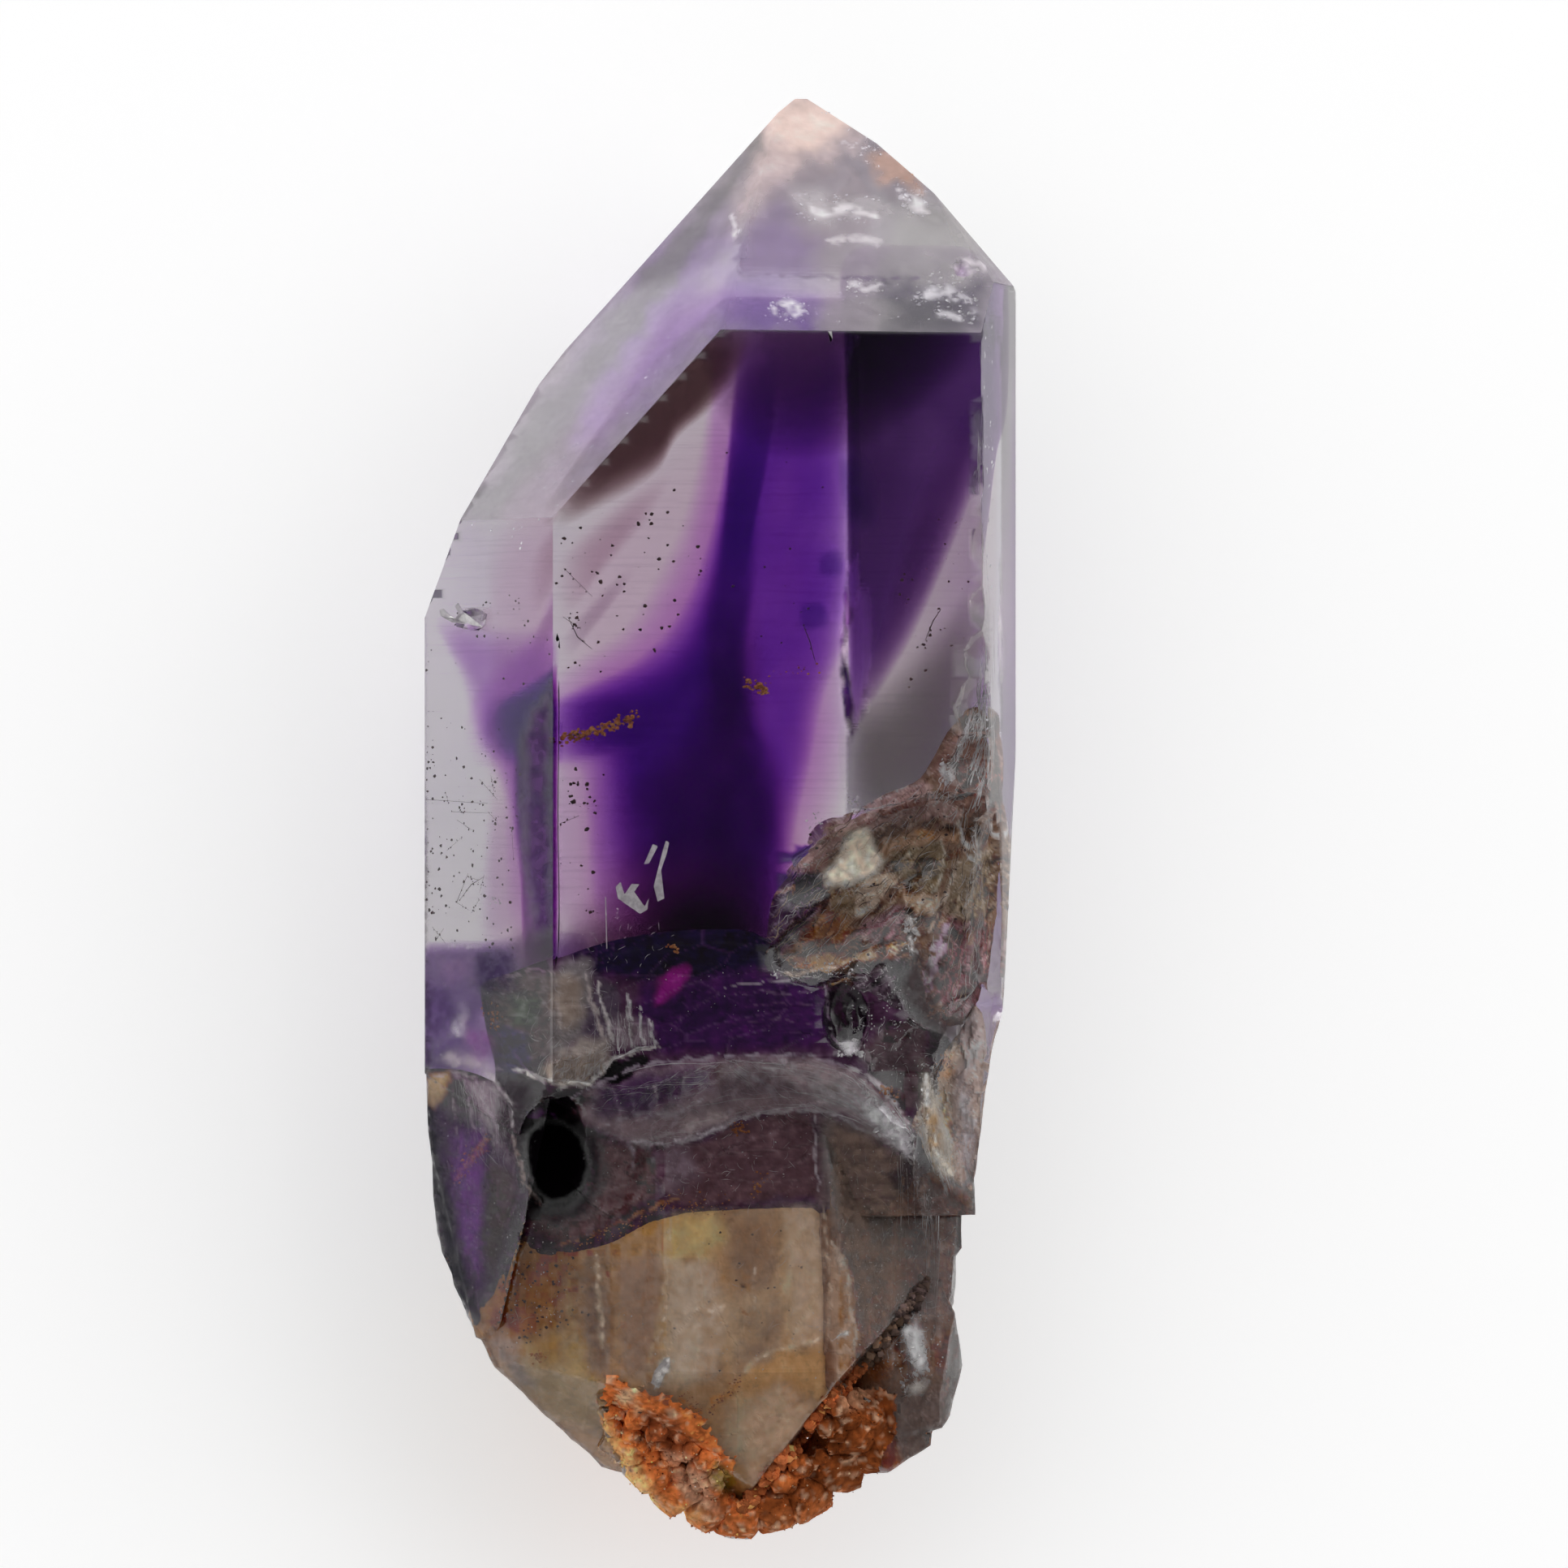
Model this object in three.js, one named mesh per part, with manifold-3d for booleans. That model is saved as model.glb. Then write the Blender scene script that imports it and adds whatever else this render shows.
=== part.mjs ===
// Amethyst scepter: a violet quartz head grown over the end of a smaller, iron-stained quartz stem.
// Millimetres. The crystal lies on the back face of its prism, with +Z up and its tip towards +Y.
// Shapes are laid out round the long axis of the head, and the finished solid is then moved so that
// its origin is at the middle of the bottom of its box.

import * as THREE from 'three';
import { ConvexGeometry } from 'three/addons/geometries/ConvexGeometry.js';
import { mergeVertices } from 'three/addons/utils/BufferGeometryUtils.js';
import Module from 'manifold-3d';

const wasm = await Module();
wasm.setup();

// Driving dimensions of the head
const HALF_DEPTH = 6.55;        // long axis to the front face, and to the back face it lies on
const LEFT_FRONT = 9.94;        // long axis to the left side face that is turned to the front
const LEFT_BACK = 9.16;         // and to the one turned to the back
const RIGHT_FRONT = 9.94;
const RIGHT_BACK = 7.56;
const TIP_LEAN = 38.2;          // lean of the quartz end faces, degrees off the side faces
const TIP_HEIGHT = 24.75;       // highest point of the bruised tip
const HEAD_FOOT = -15.2;        // where the head stops, below the middle

// Driving dimensions of the stem
const STEM_FRONT = 4.9;         // long axis to the front face of the stem
const STEM_BACK = 5.9;          // long axis to its back
const STEM_TIP = [0.4, -26.4, 1.2];

// A face is given by its azimuth (0 is the front, 90 the left side, 180 the back), its lean towards
// the tip, both in degrees, and its distance from the middle of the head.
function faceNormal(azimuth, lean) {
  const a = THREE.MathUtils.degToRad(azimuth);
  const l = THREE.MathUtils.degToRad(lean);
  return new THREE.Vector3(-Math.sin(a) * Math.cos(l), Math.sin(l), Math.cos(a) * Math.cos(l));
}

function face(azimuth, lean, distance) {
  return new THREE.Plane(faceNormal(azimuth, lean), -distance);
}

// The same, for a face that passes through a point
function faceThrough(azimuth, lean, point) {
  const normal = faceNormal(azimuth, lean);
  return new THREE.Plane(normal, -normal.dot(new THREE.Vector3(...point)));
}

// Corner where three planes meet, or null where they don't
function corner(a, b, c) {
  const cross = new THREE.Vector3().crossVectors(b.normal, c.normal);
  const volume = a.normal.dot(cross);
  if (Math.abs(volume) < 1e-6) return null;
  const sum = cross.clone().multiplyScalar(-a.constant);
  sum.addScaledVector(new THREE.Vector3().crossVectors(c.normal, a.normal), -b.constant);
  sum.addScaledVector(new THREE.Vector3().crossVectors(a.normal, b.normal), -c.constant);
  return sum.divideScalar(volume);
}

// Convex solid bounded by faces, and stretched or moved by place where that is given
function crystal(faces, place = (geometry) => geometry) {
  const corners = [];
  for (let i = 0; i < faces.length; i++) {
    for (let j = i + 1; j < faces.length; j++) {
      for (let k = j + 1; k < faces.length; k++) {
        const point = corner(faces[i], faces[j], faces[k]);
        if (point && faces.every((f) => f.distanceToPoint(point) < 1e-5)) corners.push(point);
      }
    }
  }
  return toSolid(place(new ConvexGeometry(corners)));
}

function toSolid(geometry) {
  const bare = geometry.index ? geometry.toNonIndexed() : geometry.clone();
  bare.deleteAttribute('normal');
  bare.deleteAttribute('uv');
  const merged = mergeVertices(bare, 1e-4);
  return new wasm.Manifold(new wasm.Mesh({
    numProp: 3,
    vertProperties: new Float32Array(merged.attributes.position.array),
    triVerts: new Uint32Array(merged.index.array),
  }));
}

function toGeometry(solid) {
  const mesh = solid.getMesh();
  const geometry = new THREE.BufferGeometry();
  geometry.setAttribute('position', new THREE.BufferAttribute(new Float32Array(mesh.vertProperties), 3));
  geometry.setIndex(new THREE.BufferAttribute(new Uint32Array(mesh.triVerts), 1));
  return geometry;
}

// Repeatable random numbers from 0 to 1
function randomSource(seed) {
  let state = seed;
  return () => {
    state = (state * 1664525 + 1013904223) % 4294967296;
    return state / 4294967296;
  };
}

// Rounded, slightly uneven body: the tool for shell-shaped breaks, and the shape of small lobes
function pebble(centre, radii, seed, detail = 2, unevenness = 0.06, turn = [0, 0, 0]) {
  const random = randomSource(seed);
  const geometry = mergeVertices(new THREE.IcosahedronGeometry(1, detail).deleteAttribute('normal')
    .deleteAttribute('uv'), 1e-4);
  const position = geometry.attributes.position;
  const point = new THREE.Vector3();
  for (let i = 0; i < position.count; i++) {
    point.fromBufferAttribute(position, i).multiplyScalar(1 + (random() - 0.5) * 2 * unevenness);
    position.setXYZ(i, point.x * radii[0], point.y * radii[1], point.z * radii[2]);
  }
  const euler = new THREE.Euler(...turn.map(THREE.MathUtils.degToRad));
  geometry.applyMatrix4(new THREE.Matrix4().makeRotationFromEuler(euler));
  geometry.translate(...centre);
  return toSolid(geometry);
}

// Angular lump bounded by scattered flat faces, stretched to its radii
const SPREAD_ANGLE = Math.PI * (3 - Math.sqrt(5));
function shard(centre, radii, faceCount, seed) {
  const random = randomSource(seed);
  const faces = [];
  for (let i = 0; i < faceCount; i++) {
    const height = 1 - (2 * i + 1) / faceCount;
    const around = i * SPREAD_ANGLE + random() * 1.2;
    const reach = Math.sqrt(1 - height * height);
    const normal = new THREE.Vector3(reach * Math.cos(around), reach * Math.sin(around), height);
    normal.x += (random() - 0.5) * 0.4;
    normal.y += (random() - 0.5) * 0.4;
    faces.push(new THREE.Plane(normal.normalize(), -(0.8 + random() * 0.2)));
  }
  return crystal(faces, (geometry) => geometry.scale(...radii).translate(...centre));
}

// Head: six side faces, six end faces, two steeper growth faces on the left shoulder, and the taper
// of the right side towards the foot
function head() {
  return crystal([
    face(0, 0, HALF_DEPTH),
    face(60, 0, LEFT_FRONT),
    face(120, 0, LEFT_BACK),
    face(180, 0, HALF_DEPTH),
    face(240, 0, RIGHT_BACK),
    face(300, 0, RIGHT_FRONT),
    face(0, TIP_LEAN, 14.94),
    face(60, TIP_LEAN, 13.53),
    face(120, TIP_LEAN, 13.37),
    faceThrough(180, 34, [0, TIP_HEIGHT, 0]),
    face(240, TIP_LEAN, 17.3),
    faceThrough(265.5, 41.3, [10.1, 17.5, 2.4]),
    face(300, TIP_LEAN, 18.75),
    faceThrough(114, 24, [-10.1, 9.24, 2.4]),
    faceThrough(120, 32, [-5.6, 15.7, 0.25]),
    faceThrough(270, -5.5, [10.1, 1.0, 2.4]),
    face(0, -90, -HEAD_FOOT),
    faceThrough(180, -60, [0, -12.5, -HALF_DEPTH]),
    faceThrough(90, -50, [-11.0, -10.2, 0]),
    faceThrough(270, -9, [8.95, -9.5, 4.0]),
    faceThrough(270, -50, [9.0, -14.5, 0]),
  ]);
}

// Stem: the blunt, smaller crystal below, ending in worn faces
function stem() {
  return crystal([
    face(0, 0, STEM_FRONT),
    faceThrough(22, 0, [-3.3, 0, STEM_FRONT]),
    faceThrough(58, -4, [-8.6, -18.0, 2.6]),
    faceThrough(330, 4, [2.3, -11.3, STEM_FRONT]),
    faceThrough(345, 0, [2.95, 0, STEM_FRONT]),
    face(60, 0, LEFT_FRONT),
    face(120, 0, LEFT_BACK),
    faceThrough(96, -8, [-10.3, -17.0, 1.0]),
    faceThrough(260, 0, [8.2, 0, 1.5]),
    face(140, 0, 8.0),
    face(220, 0, 7.4),
    face(180, 0, STEM_BACK),
    faceThrough(0, -32, [0, -20.6, STEM_FRONT]),
    faceThrough(39, -52.5, [-0.5, -23.9, 3.0]),
    faceThrough(293, -40, [3.2, -20.7, 4.8]),
    faceThrough(180, -40, STEM_TIP),
    faceThrough(125, -30, [-6.6, -22.6, 1.0]),
    faceThrough(235, -35, [5.4, -23.5, 1.0]),
    face(0, 90, -5.0),
  ]);
}

// Long lobe of the head that hangs down the left side of the stem
function leftLobe() {
  return crystal([
    face(0, 0, HALF_DEPTH - 0.3),
    face(60, 0, LEFT_FRONT),
    face(120, 0, LEFT_BACK),
    faceThrough(90, -11.8, [-11.0, -11.4, 0]),
    faceThrough(60, -6, [-9.4, -10.3, 3.3]),
    faceThrough(15, -14, [-8.0, -10.6, 5.6]),
    faceThrough(270, -8, [-7.6, -11.0, 0]),
    faceThrough(20, -50, [-9.6, -18.2, 3.2]),
    faceThrough(60, -62, [-9.9, -19.2, 1.4]),
    faceThrough(130, -12, [-10.0, -12.0, -2.0]),
    faceThrough(140, -45, [-9.8, -18.0, 0.0]),
    face(180, 0, 4.5),
    face(0, 90, -7.0),
  ]);
}

// Clear lobes at the right of the foot
function rightLobes() {
  return shard([6.2, -20.4, 1.9], [2.1, 3.1, 2.0], 26, 11)
    .add(shard([5.2, -22.6, 1.5], [1.9, 2.0, 1.6], 24, 12))
    .add(shard([6.8, -17.2, 0.8], [1.7, 3.6, 2.2], 22, 13));
}

// Shell-shaped breaks that end the head's front above the stem, and the dark pit beside the left lobe
function footBreaks() {
  return pebble([-0.5, -17.6, 14.0], [11.0, 11.0, 11.0], 21, 5, 0.004)
    .add(pebble([-7.0, -17.0, 13.0], [9.3, 9.3, 9.3], 22, 5, 0.005))
    .add(pebble([-7.4, -12.9, 5.6], [1.3, 2.1, 2.9], 23, 3, 0.03))
    .add(pebble([8.4, -14.0, 8.0], [3.9, 4.6, 3.7], 24, 3, 0.03))
    .add(pebble([4.0, -19.0, -9.6], [6.5, 7.5, 6.0], 25, 3, 0.02))
    .add(pebble([-7.5, -17.5, -8.6], [6.0, 6.0, 5.5], 26, 3, 0.02));
}

// Rough breaks, each a shallow faceted hollow: the lower right of the front face, the right side
// below it, the small pocket, and the corner above the stem
const HOLLOWS = [
  { centre: [4.7, -2.5, 7.2], radii: [5.0, 2.0, 1.8], turn: [0, 4, 19] },
  { centre: [3.4, -4.9, 7.1], radii: [3.9, 1.8, 1.7], turn: [0, 0, 26] },
  { centre: [7.0, -5.0, 7.1], radii: [3.6, 4.4, 1.9], turn: [0, 16, 0] },
  { centre: [9.5, -5.4, 6.3], radii: [2.3, 6.6, 2.2], turn: [0, 40, 0] },
  { centre: [9.0, -11.4, 6.2], radii: [3.2, 5.2, 2.9], turn: [0, 30, 0] },
  { centre: [5.8, -10.4, 7.6], radii: [3.0, 2.7, 1.8], turn: [0, 0, -30] },
  { centre: [2.8, -8.1, 6.8], radii: [0.9, 1.5, 0.9], turn: [0, 0, 0] },
  { centre: [-9.0, -3.0, -4.7], radii: [1.2, 5.2, 1.3], turn: [0, -40, 0] },
  { centre: [5.8, 5.0, -6.6], radii: [1.1, 4.6, 1.0], turn: [0, 0, 0] },
];

function hollows() {
  return HOLLOWS.map(({ centre, radii, turn }, index) => pebble(centre, radii, 31 + index, 4, 0.07, turn));
}

// Chips along the right edge of the front face: height along the edge, half length and depth
const EDGE_CHIPS = [
  [12.6, 1.5, 0.20],
  [10.6, 1.2, 0.26],
  [8.4, 1.9, 0.22],
  [6.2, 1.3, 0.34],
  [4.4, 1.4, 0.50],
  [2.6, 1.7, 0.74],
  [0.7, 1.6, 0.95],
];

function edgeChips() {
  const edge = corner(face(0, 0, HALF_DEPTH), face(300, 0, RIGHT_FRONT), face(0, 90, 0));
  const outward = faceNormal(330, 0);
  return EDGE_CHIPS.map(([height, halfLength, depth], index) => {
    const radius = 0.9 + depth;
    const centre = edge.clone().addScaledVector(outward, radius - depth);
    return pebble([centre.x, height, centre.z], [radius, halfLength, radius], 41 + index, 2, 0.05);
  });
}

// Bruises at the tip, on the left corner and on the front end face
function bruises() {
  return [
    pebble([4.9, 25.0, 0.9], [1.5, 1.2, 1.8], 51, 2, 0.08),
    pebble([0.9, 25.1, 0.3], [1.1, 1.1, 1.6], 52, 2, 0.08),
    pebble([3.3, 25.35, 1.0], [1.7, 0.9, 1.6], 53, 2, 0.08),
    pebble([6.6, 23.2, 0.6], [1.1, 1.3, 1.2], 54, 2, 0.08),
    pebble([-10.4, 5.75, 3.2], [1.1, 0.55, 0.95], 55, 2, 0.10),
    pebble([7.5, 18.5, 4.9], [0.5, 0.7, 0.5], 56, 1, 0.08),
    pebble([0.1, 16.6, 6.6], [0.9, 0.5, 0.5], 57, 2, 0.12),
  ];
}

// Lumps of iron-stained crust along the rim of the worn end: middle and radius
const CRUST_LUMPS = [
  [-3.7, -23.1, 1.5, 1.05],
  [-2.9, -24.2, 1.1, 1.10],
  [-1.9, -24.9, 0.9, 1.10],
  [-0.7, -25.5, 0.7, 1.10],
  [0.4, -25.9, 0.7, 1.10],
  [1.5, -25.7, 0.8, 1.10],
  [2.7, -25.0, 0.9, 1.20],
  [3.6, -24.1, 1.2, 1.30],
  [4.2, -22.7, 1.9, 1.35],
];

function crustLumps() {
  return CRUST_LUMPS.map(([x, y, z, radius], index) => {
    return shard([x, y, z], [radius, radius * 0.9, radius], 30, 81 + index);
  });
}

// Iron-stained grains: each patch is a four-cornered field on the worn end of the stem
const GRAIN_PATCHES = [
  { corners: [[-5.4, -21.0, 3.6], [-0.7, -24.0, 2.9], [-0.4, -25.4, 1.6], [-4.3, -23.6, 1.6]], rows: 5, columns: 9 },
  { corners: [[3.7, -21.2, 4.1], [5.0, -22.4, 2.8], [2.6, -25.4, 1.2], [1.0, -25.5, 1.7]], rows: 4, columns: 9 },
];
const GRAIN_RADIUS = 0.30;

function grains() {
  const random = randomSource(61);
  const all = [];
  for (const { corners, rows, columns } of GRAIN_PATCHES) {
    const [a, b, c, d] = corners.map((p) => new THREE.Vector3(...p));
    for (let row = 0; row < rows; row++) {
      for (let column = 0; column < columns; column++) {
        const u = (column + random() * 0.9) / columns;
        const v = (row + random() * 0.9) / rows;
        const upper = new THREE.Vector3().lerpVectors(a, b, u);
        const lower = new THREE.Vector3().lerpVectors(d, c, u);
        const place = upper.lerp(lower, v);
        const radius = GRAIN_RADIUS * (0.7 + random() * 0.8);
        all.push(pebble(place.toArray(), [radius, radius, radius * 0.8], 101 + all.length, 0, 0.18));
      }
    }
  }
  return all;
}

function scepter() {
  const breaks = [footBreaks(), ...hollows(), ...edgeChips(), ...bruises()];
  const carved = wasm.Manifold.difference([head(), ...breaks]);
  const whole = wasm.Manifold.union([carved, stem(), leftLobe(), rightLobes(), ...crustLumps(), ...grains()]);
  return largestBody(whole);
}

// Splinters that the breaks leave loose fall away
function largestBody(solid) {
  const bodies = solid.decompose();
  return bodies.reduce((largest, body) => (body.volume() > largest.volume() ? body : largest));
}

// The origin goes to the middle of the bottom of the box
function toBottomCentre(geometry) {
  const box = new THREE.Box3().setFromBufferAttribute(geometry.attributes.position);
  const middle = box.getCenter(new THREE.Vector3());
  geometry.translate(-middle.x, -middle.y, -box.min.z);
  return geometry;
}

const amethyst = new THREE.MeshStandardMaterial({ color: 0x7a55b0, roughness: 0.15, metalness: 0 });
const mesh = new THREE.Mesh(toBottomCentre(toGeometry(scepter())), amethyst);
mesh.name = 'amethyst_scepter';

const part = new THREE.Group();
part.add(mesh);
export default part;
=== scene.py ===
"""Looks of an amethyst scepter crystal: a violet quartz head grown over an iron-stained stem."""

import itertools
import math

import bmesh
import bpy
import numpy as np
from mathutils import Matrix, Vector
from mathutils.bvhtree import BVHTree


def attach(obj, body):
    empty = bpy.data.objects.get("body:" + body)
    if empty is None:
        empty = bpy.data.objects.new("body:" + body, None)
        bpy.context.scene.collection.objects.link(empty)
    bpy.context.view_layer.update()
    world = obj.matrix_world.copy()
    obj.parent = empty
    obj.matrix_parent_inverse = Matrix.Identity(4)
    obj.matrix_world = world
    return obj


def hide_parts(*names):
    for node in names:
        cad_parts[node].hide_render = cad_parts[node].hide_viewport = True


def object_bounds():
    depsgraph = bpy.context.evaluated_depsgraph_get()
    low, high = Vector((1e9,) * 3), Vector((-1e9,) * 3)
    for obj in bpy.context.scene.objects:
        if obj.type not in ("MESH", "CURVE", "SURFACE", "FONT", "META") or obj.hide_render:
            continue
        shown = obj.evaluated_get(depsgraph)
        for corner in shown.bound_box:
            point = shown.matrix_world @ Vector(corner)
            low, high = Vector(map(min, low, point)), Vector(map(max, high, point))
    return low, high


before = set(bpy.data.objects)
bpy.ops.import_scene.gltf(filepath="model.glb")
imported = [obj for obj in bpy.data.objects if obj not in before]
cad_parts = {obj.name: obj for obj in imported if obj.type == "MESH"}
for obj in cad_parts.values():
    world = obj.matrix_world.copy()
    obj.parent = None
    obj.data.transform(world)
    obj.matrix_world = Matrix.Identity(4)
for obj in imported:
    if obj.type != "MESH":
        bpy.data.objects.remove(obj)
cad_lo, cad_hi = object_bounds()

MM = 0.001
# The crystal is laid out round its long axis. SHIFT takes that layout, in mm, to the frame.
SHIFT = np.array([0.4625, 1.1978, 6.55])
FRONT = 6.55           # height of the front face over the long axis, mm
QUARTZ_IOR = 1.544
LOW = np.array(cad_lo) / MM - SHIFT
HIGH = np.array(cad_hi) / MM - SHIFT

# Camera: a long lens, looking down, turned towards the crystal's left side. Distances in mm
CAM_DISTANCE = 330.0
CAM_TURN = math.radians(14.0)
VIEW_WIDTH = 54.73     # width of the view at the camera's target, mm
SENSOR = 36.0
IMAGE_SIDE = 1932
MIDDLE = IMAGE_SIDE / 2
PIXEL = VIEW_WIDTH / IMAGE_SIDE
TARGET = np.array([0.567, 0.0, FRONT])
RIGHT = np.array([math.cos(CAM_TURN), 0.0, math.sin(CAM_TURN)])
UP = np.array([0, 1.0, 0])
BACK = np.array([-math.sin(CAM_TURN), 0.0, math.cos(CAM_TURN)])
EYE = TARGET + BACK * CAM_DISTANCE


def face_normal(azimuth, lean):
    a, l = math.radians(azimuth), math.radians(lean)
    return np.array([-math.sin(a) * math.cos(l), math.sin(l), math.cos(a) * math.cos(l)])


# Crystal faces: outward normal, distance from the middle in mm, and roughness
FACES = {
    "front": (face_normal(0, 0), 6.55, 0.015),
    "left": (face_normal(60, 0), 9.94, 0.02),
    "left_back": (face_normal(120, 0), 9.16, 0.30),
    "back": (face_normal(180, 0), 6.55, 0.06),
    "right_back": (face_normal(240, 0), 7.56, 0.50),
    "right": (face_normal(300, 0), 9.94, 0.10),
    "end_front": (face_normal(0, 38.2), 14.94, 0.26),
    "end_left": (face_normal(60, 38.2), 13.53, 0.28),
    "end_left_back": (face_normal(120, 38.2), 13.37, 0.42),
    "end_right": (face_normal(300, 38.2), 18.75, 0.30),
}
STEM_FACES = ((face_normal(0, 0), 4.9), (face_normal(180, 0), 5.9))


def place(p):
    """Layout millimetres to frame metres."""
    return (np.asarray(p, float) + SHIFT) * MM


def sight(px, py):
    """Direction of the line of sight through a pixel of the view."""
    ray = RIGHT * (px - MIDDLE) * PIXEL + UP * (MIDDLE - py) * PIXEL - BACK * CAM_DISTANCE
    return ray / np.linalg.norm(ray)


def pixel_of(p):
    """Pixels of the view that show layout points."""
    away = np.asarray(p, float) - EYE
    scale = CAM_DISTANCE / -(away @ BACK) / PIXEL
    return np.stack([MIDDLE + (away @ RIGHT) * scale, MIDDLE - (away @ UP) * scale], -1)


def bend(ray, normal):
    """Direction of a line of sight inside the quartz."""
    k = 1 / QUARTZ_IOR
    cos_in = -ray @ normal
    return k * ray + (k * cos_in - math.sqrt(1 - k * k * (1 - cos_in ** 2))) * normal


def behind(px, py, depth, face="front"):
    """Layout point at a depth below a face, along the refracted line of sight."""
    n, d, _ = FACES[face]
    ray = sight(px, py)
    inner = bend(ray, n)
    return EYE + ray * ((d - EYE @ n) / (ray @ n)) + inner * (depth / -(inner @ n))


def smooth(lo, hi, x):
    t = np.clip((np.asarray(x, float) - lo) / (hi - lo), 0, 1)
    return t * t * (3 - 2 * t)


def linear(tone):
    """Display tone, 0 to 255, to scene light."""
    c = np.asarray(tone, float) / 255
    return np.where(c > 0.04, ((c + 0.055) / 1.055) ** 2.4, c / 12.92)


LATTICE = (73856093, 19349663, 83492791)


def hashed(cells, seed=0):
    """Random value from 0 to 1 for each row of whole numbers."""
    key = np.full(len(cells), seed * 7919 + 17, np.int64)
    for axis in range(cells.shape[1]):
        key ^= cells[:, axis] * LATTICE[axis]
    key = (key ^ (key >> 13)) & 0xFFFFFF
    key = (key * 1103515 + 12345) & 0xFFFFFF
    key = ((key ^ (key >> 11)) * 69069 + 5) & 0xFFFF
    return key / 0xFFFF


def noise(points, seed=0):
    """Smooth noise from -1 to 1 at rows of points."""
    points = np.asarray(points, float)
    cell = np.floor(points).astype(np.int64)
    part = points - cell
    ease = part * part * (3 - 2 * part)
    total = np.zeros(len(points))
    for corner in itertools.product((0, 1), repeat=points.shape[1]):
        weight = np.where(corner, ease, 1 - ease).prod(1)
        total += weight * (2 * hashed(cell + corner, seed) - 1)
    return total


def cloudy(points, octaves=3, seed=0):
    """Noise with finer noise on it."""
    points = np.asarray(points, float)
    total = np.zeros(len(points))
    for k in range(octaves):
        total += noise(points * 2.1 ** k, seed + k) * 0.55 ** k
    return total


def facets(q, size, seed, turn=0.0, stretch=1.0):
    """Random cells of view points: values of a point's cell, its place in it and how far the edge is."""
    a = math.radians(turn)
    along = (q[:, 0] * math.cos(a) - q[:, 1] * math.sin(a)) / stretch
    across = q[:, 0] * math.sin(a) + q[:, 1] * math.cos(a)
    p = np.stack([along, across], -1) / size
    cell = np.floor(p).astype(np.int64)
    first, second = np.full(len(q), 9.0), np.full(len(q), 9.0)
    value, spot = np.zeros((len(q), 3)), np.zeros((len(q), 2))
    for step in itertools.product((-1, 0, 1), repeat=2):
        c = cell + step
        away = p - c - np.stack([hashed(c, seed), hashed(c, seed + 1)], -1)
        gap = np.linalg.norm(away, axis=1)
        nearer = gap < first
        second = np.where(nearer, first, np.minimum(second, gap))
        first = np.where(nearer, gap, first)
        own = np.stack([hashed(c, seed + k) for k in (2, 3, 4)], -1)
        value = np.where(nearer[:, None], own, value)
        spot = np.where(nearer[:, None], away, spot)
    return value, spot, second - first


# Materials
def material(name, base=(1, 1, 1), rough=0.5, transmission=0.0, ior=QUARTZ_IOR):
    m = bpy.data.materials.new(name)
    m.use_nodes = True
    tree = m.node_tree
    tree.nodes.clear()
    out = tree.nodes.new("ShaderNodeOutputMaterial")
    shader = tree.nodes.new("ShaderNodeBsdfPrincipled")
    tree.links.new(shader.outputs[0], out.inputs["Surface"])
    shader.inputs["Base Color"].default_value = (*base, 1)
    shader.inputs["Roughness"].default_value = rough
    shader.inputs["Transmission Weight"].default_value = transmission
    shader.inputs["IOR"].default_value = ior
    return m, tree, shader, out


def absorb(tree, out, per_mm):
    """Plain absorption: how much of red, green and blue light is taken up per mm (natural units)."""
    top = max(per_mm)
    volume = tree.nodes.new("ShaderNodeVolumeAbsorption")
    volume.inputs["Color"].default_value = (*[1 - v / top for v in per_mm], 1)
    volume.inputs["Density"].default_value = top / MM
    tree.links.new(volume.outputs[0], out.inputs["Volume"])


def zone_material(name, per_mm):
    m, tree, shader, out = material(name, rough=0, transmission=1, ior=1.0)
    absorb(tree, out, per_mm)
    return m


def attribute(tree, name, output, socket):
    node = tree.nodes.new("ShaderNodeAttribute")
    node.attribute_name = name
    tree.links.new(node.outputs[output], socket)


def texture_noise(tree, scale, detail=5, roughness=0.6, stretch=(1, 1, 1)):
    """Noise in object space; the scale is in cells per mm."""
    coord = tree.nodes.new("ShaderNodeTexCoord")
    mapping = tree.nodes.new("ShaderNodeMapping")
    mapping.inputs["Scale"].default_value = stretch
    cloud = tree.nodes.new("ShaderNodeTexNoise")
    cloud.inputs["Scale"].default_value = scale / MM
    cloud.inputs["Detail"].default_value = detail
    cloud.inputs["Roughness"].default_value = roughness
    tree.links.new(coord.outputs["Object"], mapping.inputs["Vector"])
    tree.links.new(mapping.outputs[0], cloud.inputs["Vector"])
    return cloud.outputs["Fac"]


def colour_ramp(tree, value, stops):
    """Output of a ramp from stops of a position and its red, green and blue."""
    node = tree.nodes.new("ShaderNodeValToRGB")
    tree.links.new(value, node.inputs[0])
    marks = node.color_ramp.elements
    while len(marks) < len(stops):
        marks.new(0.5)
    for mark, (position, colour) in zip(marks, stops):
        mark.position = position
        mark.color = (*colour, 1)
    return node.outputs[0]


def tone_ramp(tree, value, stops, socket):
    """Ramp from stops of a position and its display tone into a socket."""
    lit = [(position, linear(tone)) for position, tone in stops]
    tree.links.new(colour_ramp(tree, value, lit), socket)


def painted_base(tree, shader, name, value, stops):
    """Base colour painted on the mesh, with the tones of a texture multiplied in."""
    mix = tree.nodes.new("ShaderNodeMix")
    mix.data_type = "RGBA"
    mix.blend_type = "MULTIPLY"
    mix.inputs["Factor"].default_value = 1
    attribute(tree, name, "Color", mix.inputs[6])
    tone_ramp(tree, value, stops, mix.inputs[7])
    tree.links.new(mix.outputs[2], shader.inputs["Base Color"])


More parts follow.
